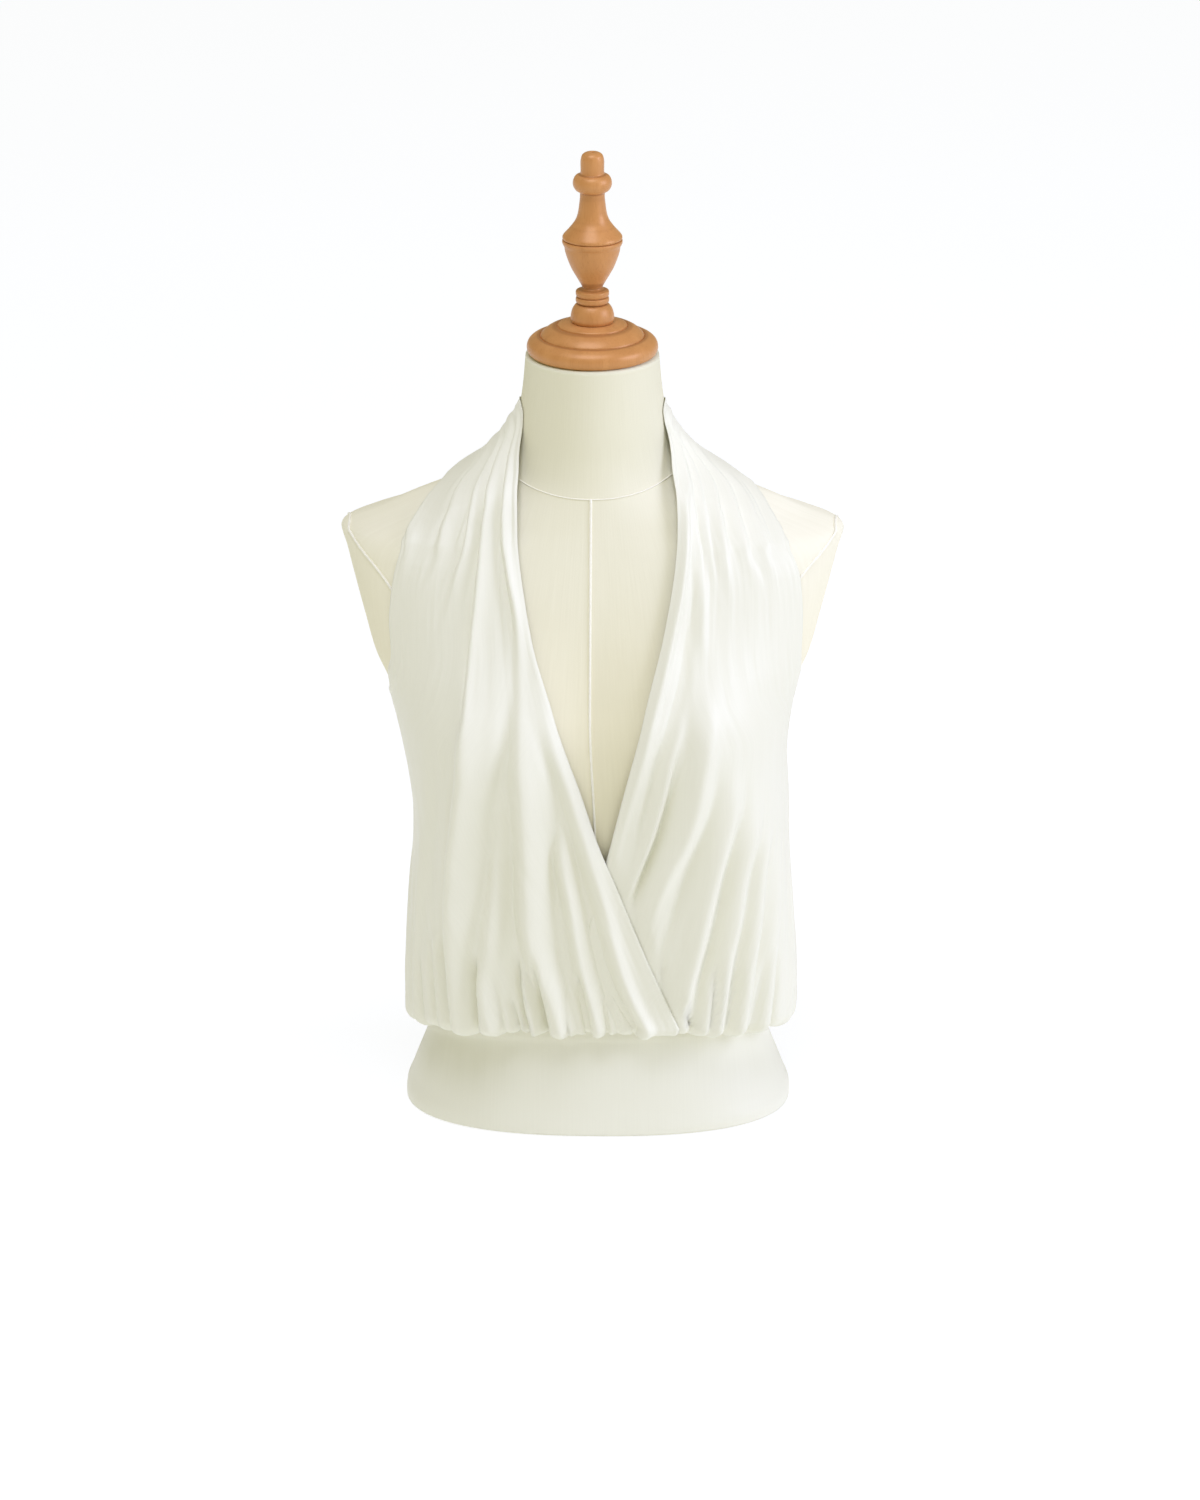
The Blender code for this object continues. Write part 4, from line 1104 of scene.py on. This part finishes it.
def back_folds(rng, down, across, width):
    """Soft folds of uneven length that hang to the back's waist seam, and short pinches along it."""
    fold = np.zeros(across.shape)
    shallow, beyond, valley_width = BACK_VALLEY
    for k in range(BACK_FOLDS):
        place = (k + 0.5 + rng.uniform(-BACK_FOLD_SHIFT, BACK_FOLD_SHIFT)) / BACK_FOLDS
        lean = rng.uniform(-BACK_FOLD_LEAN, BACK_FOLD_LEAN)
        start = rng.uniform(*BACK_FOLD_STARTS)
        tall = rng.uniform(*BACK_FOLD_HEIGHTS)
        left, right = rng.uniform(*BACK_FOLD_WIDTHS, 2)
        distance = (across - place - lean * (1 - down)) * width
        ridge = bump_at(distance, np.where(distance < 0, left, right))
        valley = shallow * bump_at(distance + right + beyond, valley_width)
        fold = fold + tall * smooth_step((down - start) / (1 - start)) * (ridge - valley)
    for k in range(BACK_PINCHES):
        place = (k + 0.5 + rng.uniform(-BACK_PINCH_SHIFT, BACK_PINCH_SHIFT)) / BACK_PINCHES
        deep = rng.uniform(*BACK_PINCH_DEPTHS)
        start = rng.uniform(*BACK_PINCH_STARTS)
        pinch = bump_at((across - place) * width, BACK_PINCH_WIDTH)
        fold = fold - deep * smooth_step((down - start) / BACK_PINCH_FADE) * pinch
    return fold


def make_back(material):
    """Low back, with its top edge hemmed and its lower edge gathered into the waist seam."""
    name = "back_panel_cloth"
    rng = np.random.default_rng(SEEDS[name])
    down, across = panel_places(*BACK_GRID, BACK_ROW_PLACES)
    seam = SIDE_SEAM + gap_angle(SIDE_RADIUS)
    angle = mix(seam, 360 - seam, across)
    top = BACK_TOP_SIDE - BACK_TOP_DIP * np.sin(math.pi * across)
    height = mix(top, roll_top(angle), down)
    width = along_rows(points(angle, cloth_radius(angle, height), height))[:, -1:]
    from_side = np.minimum(across, 1 - across) * width
    fold = back_folds(rng, down, across, width)
    gather = smooth_step((down - BACK_GATHER_START) / (1 - BACK_GATHER_START)) + 0 * across
    count_across, count_down, tall, gathered = BACK_WRINKLES
    fold = fold + streaks(rng, across, down, count_across, count_down) * (tall + gathered * gather)
    fold = fold * smooth_step(from_side / SIDE_FADE)
    from_top = down * (height[:1] - height[-1:])
    offset = fold * smooth_step(from_top / BACK_TOP_FADE) - EDGE_LIP * bump_at(from_top, ARMHOLE_LIP)
    grid = worn_grid(angle, height, offset, 0 * angle, fold)
    return new_rolled(name, grid, material, raised=hem(from_top, HEM_WIDTH), gather=gather)


def make_neck_band(material):
    """Short band behind the neck, as flat at its ends as the straps that it meets."""
    name = "neck_band_cloth"
    rng = np.random.default_rng(SEEDS[name])
    seam = NECK_SEAM + gap_angle(NECK_RADIUS)
    down, across = panel_places(*NECK_BAND_GRID)
    angle = mix(seam, 360 - seam, across)
    height = mix(NECK_BAND_HIGH, NECK_BAND_LOW, down) + 0 * across
    fold = np.zeros(across.shape)
    for place, tall, wide in NECK_BAND_FOLDS:
        sway = NECK_BAND_SWAY * np.sin(2 * math.pi * (across * NECK_BAND_SWAYS + place * NECK_BAND_PHASE))
        fold = fold + tall * bump_at(down - place - sway, wide)
    fold = fold + NECK_BAND_WRINKLES * streaks(rng, across, down, *NECK_BAND_STREAKS)
    from_edge = np.minimum(down, 1 - down) * (NECK_BAND_HIGH - NECK_BAND_LOW)
    from_join = np.minimum(across, 1 - across)
    fold = fold * mix(NECK_FLATTENS, 1, smooth_step(from_join / NECK_BAND_JOIN))
    fold = fold * smooth_step(from_edge / NECK_BAND_FADE) - EDGE_LIP * bump_at(from_edge, NECK_BAND_LIP)
    strap_lift = EDGE_LIFTS["front_over_cloth"][0][1]
    held_in = strap_lift * bump_at(NECK_BAND_HIGH - height, EDGE_LIFT_REACH)
    radius = off_skin(angle, height, cloth_radius(angle, height) + held_in + fold)
    return new_cloth(name, points(angle, radius, height), material)


def make_waistband(name, start, end, material):
    """Smooth half of the hip band, from one side seam to the other."""
    rng = np.random.default_rng(SEEDS[name])
    seam = gap_angle(SIDE_RADIUS)
    down, across = panel_places(*WAISTBAND_GRID)
    angle = mix(start + seam, end - seam, across)
    height = mix(blouse(1, angle) + BAND_ABOVE_SEAM, HEM_HEIGHT, down)
    below_roll = blouse(2, angle) - height
    tall, below, wide = WAISTBAND_RIDGE
    wave = WAISTBAND_WAVE * streaks(rng, across, down, *WAISTBAND_STREAKS)
    wave = wave + tall * bump_at(below_roll - below, wide)
    wave = wave * smooth_step((height - HEM_HEIGHT) / WAISTBAND_HEM_FADE)
    wave = wave * smooth_step(np.minimum(across, 1 - across) / WAISTBAND_SEAM_FADE)
    radius = band_radius(angle, height) + wave * smooth_step(below_roll / WAISTBAND_ROLL_FADE)
    return new_cloth(name, points(angle, radius, height), material)


# -------------------------------------------------------------- camera and light

TARGET = (0.0015, 0.0, 0.279)  # in metres, as the distances and the softboxes
VIEW_AZIMUTH = 1.0
VIEW_ELEVATION = 19.5
VIEW_DISTANCE = 6.0
LENS = 188.12  # in millimetres, as the sensor
SENSOR = 36.0
CLIP_END = 60.0

LIGHT_DISTANCE = 6.0
SOFTBOXES = (
    # name, azimuth, elevation, size, how bright a white card facing it would be, colour
    ("side_softbox", 74, 23, 3.0, 0.60, (0.65, 0.68, 1.0)),
    ("top_softbox", -12, 70, 3.6, 0.76, (0.675, 0.695, 0.92)),
)
WORLD_COLOUR = (1.0, 0.95, 0.55, 1.0)
WORLD_STRENGTH = 0.36
FLOOR_REACH = 14.0


def face_from(made, azimuth, elevation, target, distance):
    """Puts a camera or a light at a distance from a target, looking at it."""
    turn, rise = math.radians(azimuth), math.radians(elevation)
    back = np.array((math.sin(turn) * math.cos(rise), -math.cos(turn) * math.cos(rise), math.sin(rise)))
    made.location = np.array(target) + back * distance
    made.rotation_euler = (math.radians(90 - elevation), 0, turn)


def make_camera():
    camera = add_object("camera", bpy.data.cameras.new("camera"))
    camera.data.lens = LENS
    camera.data.sensor_width = SENSOR
    camera.data.clip_end = CLIP_END
    face_from(camera, VIEW_AZIMUTH, VIEW_ELEVATION, TARGET, VIEW_DISTANCE)
    bpy.context.scene.camera = camera


def make_light():
    world = bpy.data.worlds.new("studio")
    world.use_nodes = True
    background = world.node_tree.nodes["Background"]
    background.inputs["Color"].default_value = WORLD_COLOUR
    background.inputs["Strength"].default_value = WORLD_STRENGTH
    bpy.context.scene.world = world
    for name, azimuth, elevation, size, brightness, colour in SOFTBOXES:
        light = bpy.data.lights.new(name, "AREA")
        light.shape = "SQUARE"
        light.size = size
        light.energy = brightness * (math.pi * LIGHT_DISTANCE) ** 2
        light.color = colour
        face_from(add_object(name, light), azimuth, elevation, (0, 0, TARGET[2]), LIGHT_DISTANCE)
    bpy.context.scene.view_settings.view_transform = "Standard"


def make_floor():
    """A pale light table, bright enough to read as white all round the object."""
    mesh = bpy.data.meshes.new("floor")
    corners = [(x * FLOOR_REACH, y * FLOOR_REACH, 0) for x, y in ((-1, -1), (1, -1), (1, 1), (-1, 1))]
    mesh.from_pydata(corners, [], [(0, 1, 2, 3)])
    mesh.materials.append(floor_material())
    add_object("floor", mesh)


# -------------------------------------------------------------------- assembly

make_camera()
make_light()
make_floor()

jersey = jersey_material()
cover = cover_material()
cord = piping_material()
wood = wood_material()

form = make_form(cover)
cap = new_turning("turned_neck_cap", CAP_PROFILE, CAP_SEGMENTS, wood)
finial = new_turning("turned_finial", FINIAL_PROFILE, FINIAL_SEGMENTS, wood)
over = make_front("front_over_cloth", -1, OVER_STATIONS, OVER_CREASES, False, jersey)
under = make_front("front_under_cloth", 1, UNDER_STATIONS, UNDER_CREASES, True, jersey)
back = make_back(jersey)
neck = make_neck_band(jersey)
band_front = make_waistband("waistband_front_cloth", -SIDE_SEAM, SIDE_SEAM, jersey)
band_back = make_waistband("waistband_back_cloth", SIDE_SEAM, 360 - SIDE_SEAM, jersey)

for piece, node, slot in (
    (form, "form_torso", "form_cover"),
    (cap, "neck_cap", "turned_wood"),
    (finial, "finial", "turned_wood"),
    (over, "front_over", "jersey"),
    (under, "front_under", "jersey"),
    (back, "back_panel", "jersey"),
    (neck, "neck_band", "jersey"),
    (band_front, "waistband_front", "jersey"),
    (band_back, "waistband_back", "jersey"),
):
    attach(piece, "root")
    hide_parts(node)

for piece in make_piping(cord):
    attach(piece, "root")
